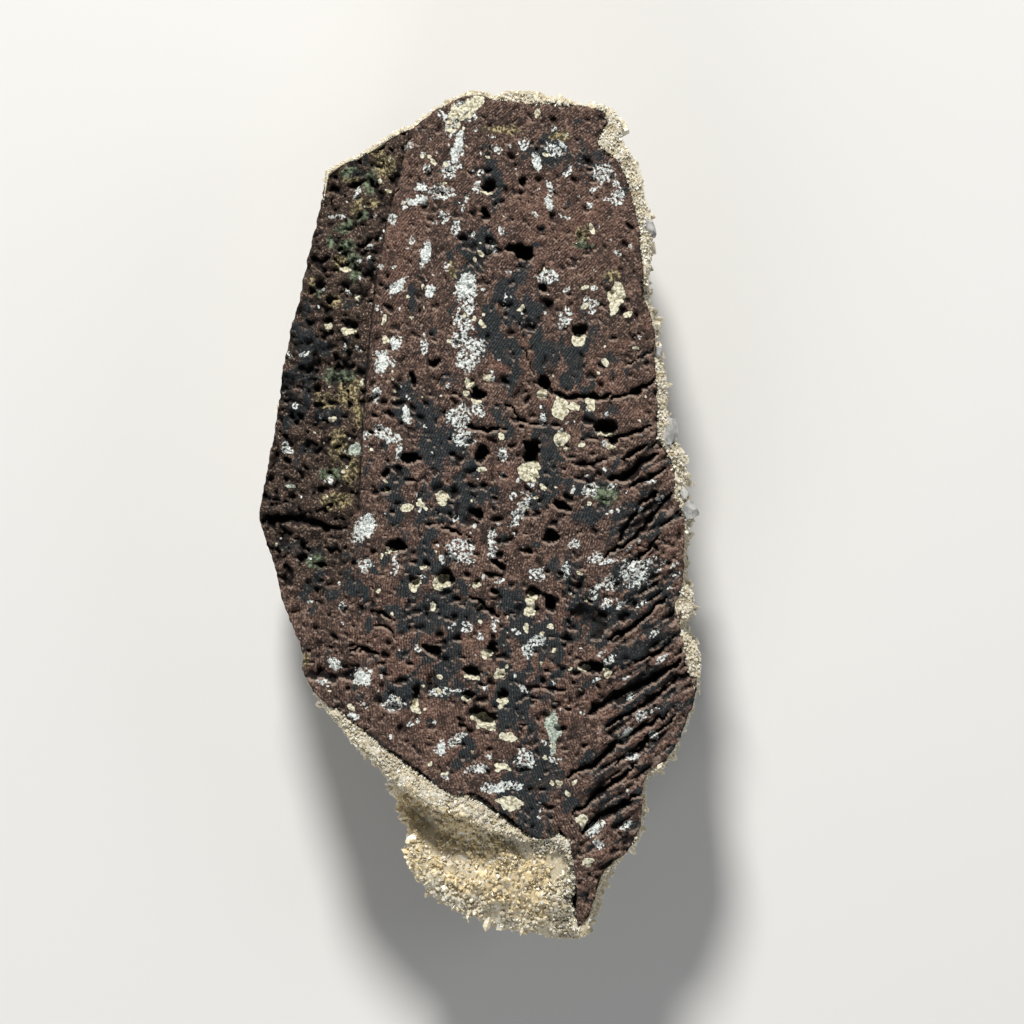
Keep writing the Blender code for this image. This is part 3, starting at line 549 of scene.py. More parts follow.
OCHRE = (
    (385, 165, 10, 12), (357, 204, 6, 10), (374, 202, 7, 5), (340, 262, 8, 9), (348, 390, 13, 18), (338, 445, 9, 16),
    (332, 300, 8, 7), (583, 235, 7, 10), (305, 660, 4, 8), (378, 150, 6, 6), (335, 500, 14, 8), (452, 270, 5, 8),
    (350, 470, 8, 14), (312, 285, 5, 8), (358, 415, 6, 10), (325, 400, 12, 6, 20), (500, 130, 20, 4),
    (560, 135, 12, 5), (610, 275, 8, 6, 30), (350, 180, 8, 4),
)
REDDISH = (
    (640, 412, 10, 5, -15), (635, 487, 8, 5, -30), (620, 345, 14, 4, -20), (648, 325, 6, 10), (590, 210, 16, 20),
    (585, 245, 14, 12), (548, 400, 14, 6, 15), (500, 470, 16, 6, 15), (470, 545, 20, 8, 10), (410, 605, 26, 7, 15),
    (372, 640, 22, 6, 10), (330, 430, 14, 8), (640, 545, 12, 5, -35), (600, 655, 12, 6, -35), (590, 700, 10, 6, -35),
    (560, 610, 8, 12), (500, 365, 8, 16), (525, 345, 6, 20), (430, 545, 18, 6, 10), (565, 710, 8, 16),
)
WARM = (
    (400, 660, 40, 30), (440, 730, 44, 24, 30), (545, 670, 18, 40), (480, 640, 24, 18), (560, 225, 50, 40),
    (600, 380, 40, 16), (400, 250, 14, 60, 10),
)
DARK = (
    (488, 155, 10, 10), (510, 305, 14, 40), (490, 330, 12, 30), (555, 155, 16, 14), (470, 255, 12, 20),
    (412, 305, 8, 14), (410, 410, 12, 25), (425, 420, 10, 20), (440, 450, 25, 14), (400, 475, 10, 8),
    (575, 375, 22, 14), (500, 430, 16, 10), (460, 500, 20, 12), (450, 515, 30, 10), (395, 500, 8, 22),
    (415, 575, 14, 22), (430, 615, 30, 14), (523, 630, 20, 20), (588, 622, 25, 20), (440, 660, 16, 16),
    (510, 700, 15, 25), (440, 690, 14, 20), (400, 690, 10, 14), (455, 762, 14, 6), (540, 760, 14, 25),
    (530, 800, 10, 20), (502, 788, 12, 10), (550, 460, 8, 30), (640, 690, 24, 9, -30), (620, 655, 12, 10, -30),
    (650, 640, 16, 7, -35), (640, 600, 16, 9, -35), (650, 570, 12, 8, -40), (625, 520, 8, 14, 40),
    (660, 525, 10, 7, -40), (300, 370, 12, 14), (330, 415, 14, 12), (290, 400, 10, 12), (310, 345, 14, 10),
    (345, 300, 8, 8), (300, 550, 12, 8, 20), (320, 590, 14, 8, 20), (352, 160, 10, 8, -30), (585, 760, 12, 10, -30),
    (600, 500, 10, 14), (524, 320, 14, 38), (505, 360, 12, 22), (568, 362, 20, 14), (592, 165, 14, 12),
    (490, 185, 10, 16), (595, 610, 14, 16), (540, 440, 10, 20), (360, 590, 12, 8), (480, 615, 10, 10),
    (505, 595, 8, 12), (555, 640, 8, 16), (468, 740, 14, 10),
)
MOTTLED = (
    (500, 300, 50, 110), (440, 450, 70, 90), (430, 600, 80, 110), (510, 680, 75, 95), (640, 600, 50, 120),
    (300, 390, 34, 80), (640, 690, 60, 60), (575, 380, 60, 50), (540, 790, 60, 60), (560, 520, 60, 90),
    (555, 160, 34, 30), (300, 570, 30, 50), (620, 790, 40, 50),
)
print(len(CREAM), "cream fillings,", len(DARK), "places of slate")

# %% Spread the patches over the grid
def patches(table, seed, fray=0.35):
    """How much of a patch lies at each grid point, from 0 to 1."""
    cover = np.zeros(columns.shape)
    shift_x = 2.6 * soft_noise(columns, rows, 7, seed) + 1.6 * soft_noise(columns, rows, 3, seed + 1)
    shift_y = 2.6 * soft_noise(columns, rows, 7, seed + 2) + 1.6 * soft_noise(columns, rows, 3, seed + 3)
    for column, row, wide, tall, *turn in table:
        block = around(column, row, 1.7 * max(wide, tall) + 4)
        dx, dy = columns[block] + shift_x[block] - column, rows[block] + shift_y[block] - row
        long_way, short_way = turned(math.radians(sum(turn)), dx, dy)
        raise_to(cover, block, (1 + fray - np.hypot(long_way / wide, short_way / tall)) / (2 * fray))
    return cover


white = np.maximum(patches(WHITE, 20, 0.5), 0.85 * tiny_white)
solid = patches(SOLID_WHITE, 25, 0.3)
cream = np.maximum(patches(CREAM, 30, 0.22), 0.9 * tiny_fill)
pale_green = patches(PALE_GREEN, 40)
green = patches(GREEN, 50, 0.7)
ochre = patches(OCHRE, 60, 0.7)
# The ridges between the facet's furrows are reddened as a painted highlight, where the lamp catches them
reddish = np.maximum(patches(REDDISH, 65, 0.7), 0.5 * ridges)
warm = patches(WARM, 67, 0.8)
for name, cover in (("white", white), ("cream", cream), ("green", green), ("ochre", ochre)):
    print(name, "covers", round(100 * float(cover[basalt_away < 0].mean()), 1), "% of the sawn face")

# %% [markdown]
# The blue-grey slate is not made of patches but of a web of upright streaks, and on the torn facet of slanted ones.
# Warped axes keep the streaks from looking combed, and the patches only say where the web is dense.

# %% Weave the slate
lean_x = 0.97 * columns + 0.24 * rows + 3.5 * soft_noise(across, along, 13, 91) + 1.5 * soft_noise(across, along, 5, 92)
lean_y = 0.97 * rows - 0.24 * columns + 3.5 * soft_noise(across, along, 12, 93) + 1.5 * soft_noise(across, along, 5, 94)
streaks = soft_noise(lean_x, lean_y * 0.5, 10, 80) + 0.7 * soft_noise(lean_x, lean_y * 0.6, 4.6, 81)
slanted = soft_noise(along, across * 2.4, 17, 82) + 0.7 * soft_noise(along, across * 2.0, 8, 83)
web = streaks * (1 - facet) + slanted * facet
dark = 0.5 * web + 0.4 * patches(MOTTLED, 85, 0.8) + 0.66 * patches(DARK, 70, 0.7)
dark = dark - 0.37 - 0.3 * reddish + 0.16 * facet - 0.08 * warm
dark = ramp(dark, 0, 0.3)
reddish = np.maximum(reddish, 0.8 * warm)
print("slate covers", round(100 * float(dark[basalt_away < 0].mean()), 1), "% of the sawn face")

# %% [markdown]
# ## From the grid to a solid
# A height field is only a sheet. To make it a rock, the cells inside the outline are kept, their border is pulled
# onto the true edge, and the border is carried down the sides to the underside, ring by ring. Each ring is found by
# shooting rays at the CAD solid from outside, so the sides stay exactly where the solid has them.

# %% Helpers that build a solid from grid cells
SPINE = (Vector((*metres(478, 230), 0)), Vector((*metres(505, 780), 0)))


def outwards_from_spine(place):
    """The level direction from the stone's spine to this place."""
    along = SPINE[1] - SPINE[0]
    share = max(0, min(1, (place - SPINE[0]).dot(along) / along.dot(along)))
    way = place - (SPINE[0] + share * along)
    way.z = 0
    return way.normalized()


def kept_cells(used):
    """The grid cells whose four corners are used, and the points on their border."""
    cells = used[:-1, :-1] & used[1:, :-1] & used[:-1, 1:] & used[1:, 1:]
    touched = np.zeros(used.shape, int)
    for di in (0, 1):
        for dj in (0, 1):
            touched[di:di + cells.shape[0], dj:dj + cells.shape[1]] += cells
    return cells, (touched > 0) & (touched < 4), touched > 0


def cell_sheet(cells, in_use, x, y, z):
    """The corners and four-sided faces of the kept cells, and the grid's numbering of its points."""
    number = np.full(x.shape, -1)
    number[in_use] = np.arange(int(in_use.sum()))
    across, up = metres(x[in_use], y[in_use])
    corners = np.column_stack([across, up, z[in_use]])
    i, j = np.nonzero(cells)
    faces = np.column_stack([number[i, j], number[i + 1, j], number[i + 1, j + 1], number[i, j + 1]])
    return corners, faces


def border_loops(faces):
    """The runs of edges that have a face on one side only, each as a list of corners."""
    sides = {}
    for face in faces:
        for a, b in zip(face, np.roll(face, -1)):
            sides[(int(a), int(b))] = True
    following = {}
    for a, b in sides:
        if (b, a) not in sides:
            following.setdefault(a, []).append(b)
    loops = []
    while following:
        start = next(iter(following))
        loop, here = [], start
        while here in following:
            loop.append(here)
            ahead = following[here].pop()
            if not following[here]:
                del following[here]
            here = ahead
        loops.append(loop)
    return loops


def mesh_piece(name, corners, faces, finish, fields=None, smooth=True):
    """A mesh object with a finish and a number for each corner in each named field."""
    mesh = bpy.data.meshes.new(name)
    mesh.from_pydata([tuple(c) for c in corners], [], [tuple(int(k) for k in face) for face in faces])
    mesh.validate()
    for field, values in (fields or {}).items():
        layer = mesh.attributes.new(field, "FLOAT", "POINT")
        layer.data.foreach_set("value", np.asarray(values, np.float32))
    mesh.polygons.foreach_set("use_smooth", [smooth] * len(mesh.polygons))
    mesh.materials.append(finish)
    piece = bpy.data.objects.new(name, mesh)
    bpy.context.scene.collection.objects.link(piece)
    return piece


def bridge(faces, above, ring):
    """Adds the four-sided faces between a loop of corners and the ring below it."""
    for k in range(len(above)):
        after = (k + 1) % len(above)
        faces.append((above[after], above[k], ring[k], ring[after]))


def triangle_count(piece):
    return sum(len(face.vertices) - 2 for face in piece.data.polygons)


print("the grid has", int((crust_away < 0).sum()), "points inside the crust's edge")

# %% [markdown]
# ## The finish of the sawn rock
# A saw leaves fine parallel scratches, so the finish has three layers: the rock's colours, with painted shade in its
# hollows and painted highlights on their lit lips, picked by the fields on the mesh and frayed by noise that is finer
# than the mesh; the scratches, as a bump from wavy bands with a little painted shade in their grooves; and grain.
# Small helpers keep the node code short. Every pattern reads the object's own coordinates, in metres.

# %% Node helpers
def new_finish(name):
    finish = bpy.data.materials.new(name)
    finish.use_nodes = True
    return finish, finish.node_tree, finish.node_tree.nodes["Principled BSDF"]


def plug(tree, made, inputs):
    """Sets a node's inputs, each to a value or to another node's output."""
    for key, value in inputs.items():
        if isinstance(value, bpy.types.NodeSocket):
            tree.links.new(value, made.inputs[key])
        else:
            made.inputs[key].default_value = value


def node(tree, kind, inputs=None, **settings):
    """A new node with these settings and inputs."""
    made = tree.nodes.new(kind)
    for key, value in settings.items():
        setattr(made, key, value)
    plug(tree, made, inputs or {})
    return made


def grain(tree, scale, detail=3, rough=0.5):
    """Noise over the object's coordinates, as a number from 0 to 1."""
    place = node(tree, "ShaderNodeTexCoord").outputs["Object"]
    inputs = {"Vector": place, "Scale": scale, "Detail": detail, "Roughness": rough}
    return node(tree, "ShaderNodeTexNoise", inputs).outputs["Fac"]


def sums(tree, operation, *values):
    return node(tree, "ShaderNodeMath", dict(enumerate(values)), operation=operation).outputs[0]


def crisp(tree, value, low, high):
    """The value stretched so that low becomes 0 and high becomes 1, and cut off there."""
    return node(tree, "ShaderNodeMapRange", {"Value": value, "From Min": low, "From Max": high}, clamp=True,
                interpolation_type="SMOOTHSTEP").outputs["Result"]


def running(tree, value, low, high):
    """A number that runs from low to high as the value goes from 0 to 1."""
    return node(tree, "ShaderNodeMapRange", {"Value": value, "To Min": low, "To Max": high},
                clamp=True).outputs["Result"]


def mixed(tree, share, first, second, way="MIX"):
    """One colour over another by a share. Each is a colour or a socket."""
    first, second = [(*colour, 1) if isinstance(colour, tuple) else colour for colour in (first, second)]
    return node(tree, "ShaderNodeMix", {"Factor": share, 6: first, 7: second}, data_type="RGBA",
                blend_type=way).outputs[2]


def bumped(tree, height, strength, distance, below=None):
    """The surface's direction after a bump, on top of the bump below it."""
    inputs = {"Height": height, "Strength": strength, "Distance": distance}
    if below is not None:
        inputs["Normal"] = below
    return node(tree, "ShaderNodeBump", inputs).outputs["Normal"]


def field(tree, name):
    return node(tree, "ShaderNodeAttribute", attribute_name=name).outputs["Fac"]


print("node helpers ready")

# %% The saw's scratches
WAVE_LENGTH = 0.314
FACE_PITCH, STRIP_PITCH = 0.00037, 0.0004
SAW_CENTRE = (941, 640)


def scratches(tree, kind, place_or_turn, pitch):
    """Wavy saw lines: rings around a far place, or level bands turned by an angle."""
    place = node(tree, "ShaderNodeTexCoord").outputs["Object"]
    moved = {"Location": place_or_turn} if kind == "RINGS" else {"Rotation": (0, 0, place_or_turn)}
    mapping = node(tree, "ShaderNodeMapping", {"Vector": place, **moved})
    inputs = {"Vector": mapping.outputs["Vector"], "Scale": WAVE_LENGTH / pitch, "Distortion": 5, "Detail": 3,
              "Detail Scale": 1.3}
    wave = node(tree, "ShaderNodeTexWave", inputs, wave_type=kind, bands_direction="Y", rings_direction="Z")
    return wave.outputs["Fac"]


def saw_lines(tree):
    """Arcs around a place far to the right of the stone, and slanted bands on the strip."""
    centre_x, centre_y = metres(*SAW_CENTRE)
    on_face = scratches(tree, "RINGS", (-centre_x, -centre_y, 0), FACE_PITCH)
    on_strip = scratches(tree, "BANDS", math.radians(50), STRIP_PITCH)
    return node(tree, "ShaderNodeMix", {0: field(tree, "strip"), 2: on_face, 3: on_strip},
                data_type="FLOAT").outputs[0]


print("saw lines every", 1000 * FACE_PITCH, "mm")

# %% [markdown]
# The rock's colour is built like a painting, in layers from the ground up. Each layer is a share, which says where it
# covers what lies below, and a colour. The order matters: grime and the scratches' painted shade lie on the brown rock,
# slate covers both, and the pale fillings come last because they fill the holes.

# %% The sawn rock's finish
def rock_finish():
    finish, tree, shader = new_finish("sawn basalt")
    fray = grain(tree, 2300, 4)
    speck = grain(tree, 3300, 6, 0.65)
    grime = grain(tree, 330, 9, 0.72)

    def noisy(scale, detail, low, high):
        return crisp(tree, grain(tree, scale, detail), low, high)

    def times(first, second):
        return sums(tree, "MULTIPLY", first, second)

    def patch(name, low, high, strength):
        """A field of the mesh, frayed by noise that is finer than the mesh."""
        pushed = sums(tree, "MULTIPLY_ADD", sums(tree, "SUBTRACT", fray, 0.5), strength, field(tree, name))
        return crisp(tree, pushed, low, high)

    lines = saw_lines(tree)
    shallow = sums(tree, "SUBTRACT", 1, crisp(tree, field(tree, "rough"), 0.1, 0.9))
    patchy = times(shallow, noisy(420, 2, 0.3, 0.62))
    slate = mixed(tree, times(crisp(tree, lines, 0.5, 0.95), shallow), (0.0075, 0.0105, 0.0125), (0.024, 0.031, 0.034))
    slate = mixed(tree, crisp(tree, speck, 0.55, 0.7), slate, (0.10, 0.108, 0.108))
    slate = mixed(tree, crisp(tree, grime, 0.56, 0.68), slate, (0.07, 0.048, 0.038))
    gold = mixed(tree, noisy(2400, 3, 0.44, 0.62), (0.05, 0.040, 0.021), (0.36, 0.30, 0.165))
    moss = mixed(tree, noisy(1900, 3, 0.4, 0.62), (0.022, 0.028, 0.017), (0.15, 0.185, 0.12))
    chalk = mixed(tree, noisy(3900, 2, 0.35, 0.6), (0.24, 0.27, 0.265), (0.71, 0.745, 0.715))
    grey_green = mixed(tree, crisp(tree, speck, 0.4, 0.6), (0.14, 0.17, 0.14), (0.48, 0.54, 0.46))
    pale = mixed(tree, noisy(2300, 4, 0.38, 0.58), (0.28, 0.25, 0.16), (0.66, 0.64, 0.50))
    flecks = crisp(tree, sums(tree, "MULTIPLY_ADD", field(tree, "solid"), 0.22, grain(tree, 2300, 4)), 0.44, 0.53)
    layers = (
        (noisy(1500, 4, 0.5, 0.68), (0.25, 0.16, 0.122)),
        (noisy(1250, 4, 0.5, 0.34), (0.030, 0.019, 0.016)),
        # The reddish field also carries the painted highlight on the facet's ridges
        (times(field(tree, "reddish"), 0.6), (0.19, 0.10, 0.072)),
        (times(field(tree, "strip"), 0.84), (0.028, 0.019, 0.013)),
        (crisp(tree, speck, 0.54, 0.67), (0.37, 0.265, 0.21)),
        (crisp(tree, speck, 0.49, 0.37), (0.011, 0.008, 0.007)),
        (times(crisp(tree, grime, 0.5, 0.36), 0.75), (0.016, 0.011, 0.009)),
        # Painted shade: the brown rock darkens a little in the grooves of the saw lines
        (times(crisp(tree, lines, 0.5, 0.15), times(patchy, 0.75)), (0.016, 0.011, 0.010)),
        (times(patch("dark", 0.15, 0.8, 2.2), 0.97), slate),
        # Painted highlight: the lit lower lips of hollows and the lit facet lines turn paler
        (times(patch("lit_lip_highlight", 0.34, 0.85, 1.9), 0.75), (0.26, 0.195, 0.155)),
        (patch("ochre", 0.33, 0.7, 1.6), gold),
        (patch("green", 0.36, 0.75, 1.5), moss),
        # Painted shade: holes, furrows and chips turn near black where the lamp's light doesn't reach
        (patch("hole", 0.22, 0.7, 0.35), (0.007, 0.005, 0.0045)),
        (times(patch("white", 0.43, 0.65, 1.4), flecks), chalk),
        (patch("pale_green", 0.45, 0.6, 0.9), grey_green),
        (times(patch("cream", 0.12, 0.4, 0.7), 0.6), (0.018, 0.013, 0.011)),
        (patch("cream", 0.42, 0.58, 0.7), pale),
    )
    colour = mixed(tree, noisy(700, 3, 0.35, 0.65), (0.054, 0.032, 0.024), (0.125, 0.075, 0.055))
    for share, top in layers:
        colour = mixed(tree, share, colour, top)
    scratched = bumped(tree, times(lines, patchy), 0.5, 0.00006)
    plug(tree, shader, {"Base Color": colour, "Specular IOR Level": 0.2,
                        "Roughness": running(tree, field(tree, "cream"), 0.78, 0.5),
                        "Normal": bumped(tree, grain(tree, 2300, 8, 0.6), 0.9, 0.0003, scratched)})
    return finish


basalt_finish = rock_finish()
print(basalt_finish.name, len(basalt_finish.node_tree.nodes), "nodes")

# %% Build the sawn basalt
TIP_START = -0.028
FOOT_HEIGHT = 0.0113
RAY_START = 0.006
PIXELS_IN_A_METRE = 7000
SHARES = (0.02, 0.06, 0.12, 0.2, 0.3, 0.41, 0.53, 0.65, 0.77, 0.88, 0.96, 1.0)


def side_place(top, share):
    """A place on the slab's side, this share of the way down from a corner of its top edge."""
    way = outwards_from_spine(top)
    height = top.z + (FOOT_HEIGHT - top.z) * share
    column, row = PIXELS_IN_A_METRE * top.x, PIXELS_IN_A_METRE * top.y
    bump = 0.00022 * float(soft_noise(column + 9000 * height, row, 6, 90)) * min(1, share * 8)
    start_ray = Vector((top.x, top.y, height)) + way * RAY_START
    hit = basalt_tree.ray_cast(start_ray, -way, 0.03)[0]
    if share < 0.1 or hit is None or (hit - start_ray).length > RAY_START + 0.0007 + 0.014 * share:
        hit = Vector((top.x, top.y, height)) - way * 0.0006 * share
    return tuple(hit - way * (0.0001 + abs(bump)))


def build_basalt():
    used = basalt_away < 0.45 * CELL
    cells, border, in_use = kept_cells(used)
    x = np.where(border, basalt_near_x, columns)
    y = np.where(border, basalt_near_y, rows)
    corners, faces = cell_sheet(cells, in_use, x, y, relief)
    # The left tip lies lower than the sawn plane and so a little further in, as on the solid
    tip = corners[:, 0] < TIP_START
    squeeze = (cad_low[0] + 0.0001 - TIP_START) / (corners[:, 0].min() - TIP_START)
    corners[tip, 0] = TIP_START + (corners[tip, 0] - TIP_START) * min(1, squeeze)
    rough = np.clip(strip + 0.6 * facet + hole_depth / 0.0008, 0, 1)
    # The hole field carries the painted shade of holes, furrows, chips, pits and the saw line
    layers = {"white": white, "solid": solid, "cream": cream, "dark": dark, "green": green, "ochre": ochre,
              "reddish": reddish, "lit_lip_highlight": lit_lip_highlight, "pale_green": pale_green, "strip": strip, "rough": rough, "hole": shadow}
    values = {name: list(layer[in_use]) for name, layer in layers.items()}
    corners, faces = list(map(tuple, corners)), [tuple(face) for face in faces]
    loop = max(border_loops(faces), key=len)
    above = loop
    for share in SHARES:
        ring = []
        for start in loop:
            ring.append(len(corners))
            corners.append(side_place(Vector(corners[start]), share))
            for name in values:
                side = {"rough": 1.0, "strip": 1.0, "hole": 0.0}.get(name)
                values[name].append(side if side is not None else values[name][start] * max(0, 0.7 - 2 * share))
        bridge(faces, above, ring)
        above = ring
    faces.append(tuple(above))
    piece = mesh_piece("basalt_slab", corners, faces, basalt_finish, values)
    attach(piece, "root")
    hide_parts("basalt_matrix")
    return piece


basalt_slab = build_basalt()
print("basalt:", triangle_count(basalt_slab), "triangles")

# %% [markdown]
# ## The top of the crust
# Around the sawn face the crystal crust shows as a rim, and at the pointed end as a broad hollow lined with
# crystals, called a druse. Its ground is a second sheet from the same grid: heights from the CAD crust, made lumpy,
# and reaching a little under the rock so that no gap shows. The crystals will grow on it.

# %% The zeolite's finish
def zeolite_finish(name, pale, warm, roughness):
    finish, tree, shader = new_finish(name)
    fine_cloud = grain(tree, 1500)
    amber_share = sums(tree, "MULTIPLY_ADD", sums(tree, "SUBTRACT", grain(tree, 260), 0.5), 1.2, field(tree, "amber"))
    colour = mixed(tree, crisp(tree, amber_share, 0.2, 0.9), pale, warm)
    for share, top in ((crisp(tree, grain(tree, 620), 0.5, 0.68), (0.47, 0.40, 0.275)),
                       (crisp(tree, fine_cloud, 0.52, 0.70), (0.84, 0.82, 0.74)),
                       (crisp(tree, fine_cloud, 0.42, 0.25), (0.42, 0.36, 0.24))):
        colour = mixed(tree, share, colour, top)
    own_tint = mixed(tree, crisp(tree, field(tree, "tint"), 0.0, 1.0), (0.82, 0.80, 0.76), (1.0, 1.0, 1.0))
    # Light enters the small crystals and leaves them a little further on, which softens the shadows between them
    plug(tree, shader, {"Base Color": mixed(tree, 1, colour, own_tint, "MULTIPLY"), "Roughness": roughness,
                        "Subsurface Weight": 0.45, "Subsurface Scale": 0.0009, "Subsurface Radius": (1.0, 0.85, 0.6),
                        "Normal": bumped(tree, grain(tree, 4200), 0.5, 0.0001)})
    return finish


ground_finish = zeolite_finish("zeolite ground", (0.62, 0.56, 0.42), (0.64, 0.52, 0.31), 0.5)
crystal_finish = zeolite_finish("zeolite crystals", (0.63, 0.58, 0.46), (0.74, 0.61, 0.37), 0.2)
print("two zeolite finishes")

# %% Build the top of the crust
AMBER = (
    (420, 855, 26, 24), (455, 845, 30, 16, 20), (515, 865, 40, 18, 10), (470, 880, 30, 16, 10), (520, 905, 34, 14, 5),
    (560, 870, 10, 20), (447, 812, 26, 5, 15), (410, 800, 12, 18),
)
BRIGHT = (
    (360, 745, 22, 10, 35), (395, 775, 16, 8, 45), (432, 796, 24, 8, 25), (480, 812, 22, 8, 25), (525, 843, 22, 6, 5),
    (470, 905, 40, 7, 15), (560, 900, 12, 30), (565, 935, 14, 10), (500, 925, 34, 7), (430, 885, 10, 12),
    (540, 98, 50, 6), (625, 150, 12, 40, -15),
)
druse = ramp(basalt_away, 6, 22) * ramp(rows, 770, 30)
amber = np.clip(0.45 * druse + 0.5 * patches(AMBER, 100, 0.6) - 0.45 * patches(BRIGHT, 110, 0.5) + 0.1, 0, 1)


def build_crust_top():
    used = (crust_away < 0.45 * CELL) & (basalt_away > -2.2 * CELL)
    cells, border, in_use = kept_cells(used)
    ground = heights_on(crust_tree, columns, rows, used)
    ground = filled(ground, used)
    lumps = 0.0006 * soft_noise(columns, rows, 15, 120) + 0.00045 * soft_noise(columns, rows, 6.5, 121)
    ground = ground + np.where(basalt_away > 6, lumps, 0.4 * lumps) + 0.0002
    ground += druse * (0.00022 * soft_noise(across, along, 4.2, 123) + 0.00012 * soft_noise(across, along, 2.4, 124))
    highest = SAWN_HEIGHT - 0.0001 + 0.0002 * soft_noise(columns, rows, 6, 122)
    ground = np.minimum(ground, np.minimum(highest, SAWN_HEIGHT - HAIR))
    under = np.clip(-basalt_away / CELL, 0, 1.6)
    ground = np.minimum(ground, plane_height * (under > 0) + 1.0 * (under <= 0) - 0.0006 * under)
    outer = border & (crust_away > -2 * CELL)
    x = np.where(outer, crust_near_x, columns)
    y = np.where(outer, crust_near_y, rows)
    corners, faces = cell_sheet(cells, in_use, x, y, ground)
    corners = np.clip(corners, cad_low, cad_high)
    # Where the rim is hardly wider than a pixel or two, few crystals stand on it
    cover = np.where(basalt_away > 0.2, np.clip((basalt_away - crust_away - 1.0) / 4, 0.08, 1), 0.0)
    # In the druse the crystals are melted together, so fewer stand free
    cover = cover * (1 - druse * np.clip(0.55 + 0.5 * soft_noise(columns, rows, 11, 125), 0.25, 0.9))
    values = {"amber": list(amber[in_use]), "cover": list(cover[in_use]), "tint": [0.8] * int(in_use.sum())}
    corners, faces = list(map(tuple, corners)), [tuple(face) for face in faces]
    for loop in border_loops(faces):
        above = loop
        for drop in (0.0006, 0.0016, 0.0032):
            ring = []
            for start in loop:
                top = Vector(corners[start])
                way = outwards_from_spine(top)
                ring.append(len(corners))
                corners.append(tuple(Vector((top.x, top.y, top.z - drop)) - way * drop * 0.12))
                for name in values:
                    values[name].append(values[name][start])
            bridge(faces, above, ring)
            above = ring
    piece = mesh_piece("crust_top", corners, faces, ground_finish, values)
    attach(piece, "root")
    return piece


crust_top = build_crust_top()
print("crust top:", triangle_count(crust_top), "triangles")

# %% [markdown]
# ## Crystals by the thousand
# A zeolite crust is thousands of small crystals that grew outwards from the rock, each a little tablet or prism with
# a sharp end. This is a job for Geometry Nodes: spread points over a surface, put one of three low-poly crystals on
# each, lean and spin it at random, and make it real geometry at the end. The tree's named inputs set spacing and size.

# %% Three crystal shapes, one unit long
def crystal_shape(name, corners, faces):
    mesh = bpy.data.meshes.new(name)
    mesh.from_pydata(corners, [], faces)
    shape = bmesh.new()
    shape.from_mesh(mesh)
    bmesh.ops.recalc_face_normals(shape, faces=shape.faces)
    shape.to_mesh(mesh)
    shape.free()
    shapes.objects.link(bpy.data.objects.new(name, mesh))


shapes = bpy.data.collections.new("crystal shapes")
TABLET = ([(-0.26, -0.13, -0.3), (0.26, -0.13, -0.3), (0.26, 0.13, -0.3), (-0.26, 0.13, -0.3),
           (-0.33, -0.15, 0.62), (0.33, -0.15, 0.62), (0.33, 0.15, 0.62), (-0.33, 0.15, 0.62),
           (-0.13, 0, 1.0), (0.13, 0, 1.0)],
          [(0, 1, 5, 4), (1, 2, 6, 5), (2, 3, 7, 6), (3, 0, 4, 7), (4, 5, 9, 8), (6, 7, 8, 9), (5, 6, 9), (7, 4, 8),
           (3, 2, 1, 0)])
PRISM = ([(-0.2, -0.2, -0.3), (0.2, -0.2, -0.3), (0.2, 0.2, -0.3), (-0.2, 0.2, -0.3),
          (-0.22, -0.22, 0.6), (0.22, -0.22, 0.6), (0.22, 0.22, 0.6), (-0.22, 0.22, 0.6), (0.04, 0.02, 1.0)],
         [(0, 1, 5, 4), (1, 2, 6, 5), (2, 3, 7, 6), (3, 0, 4, 7), (4, 5, 8), (5, 6, 8), (6, 7, 8), (7, 4, 8),
          (3, 2, 1, 0)])
BLOCK = ([(-0.36, -0.3, -0.2), (0.3, -0.36, -0.2), (0.36, 0.3, -0.2), (-0.3, 0.36, -0.2),
          (-0.3, -0.32, 0.62), (0.34, -0.28, 0.5), (0.3, 0.32, 0.66), (-0.34, 0.28, 0.56)],
         [(0, 1, 5, 4), (1, 2, 6, 5), (2, 3, 7, 6), (3, 0, 4, 7), (4, 5, 6, 7), (3, 2, 1, 0)])
for shape_name, (shape_corners, shape_faces) in (("tablet", TABLET), ("prism", PRISM), ("block", BLOCK)):
    crystal_shape(shape_name, shape_corners, shape_faces)

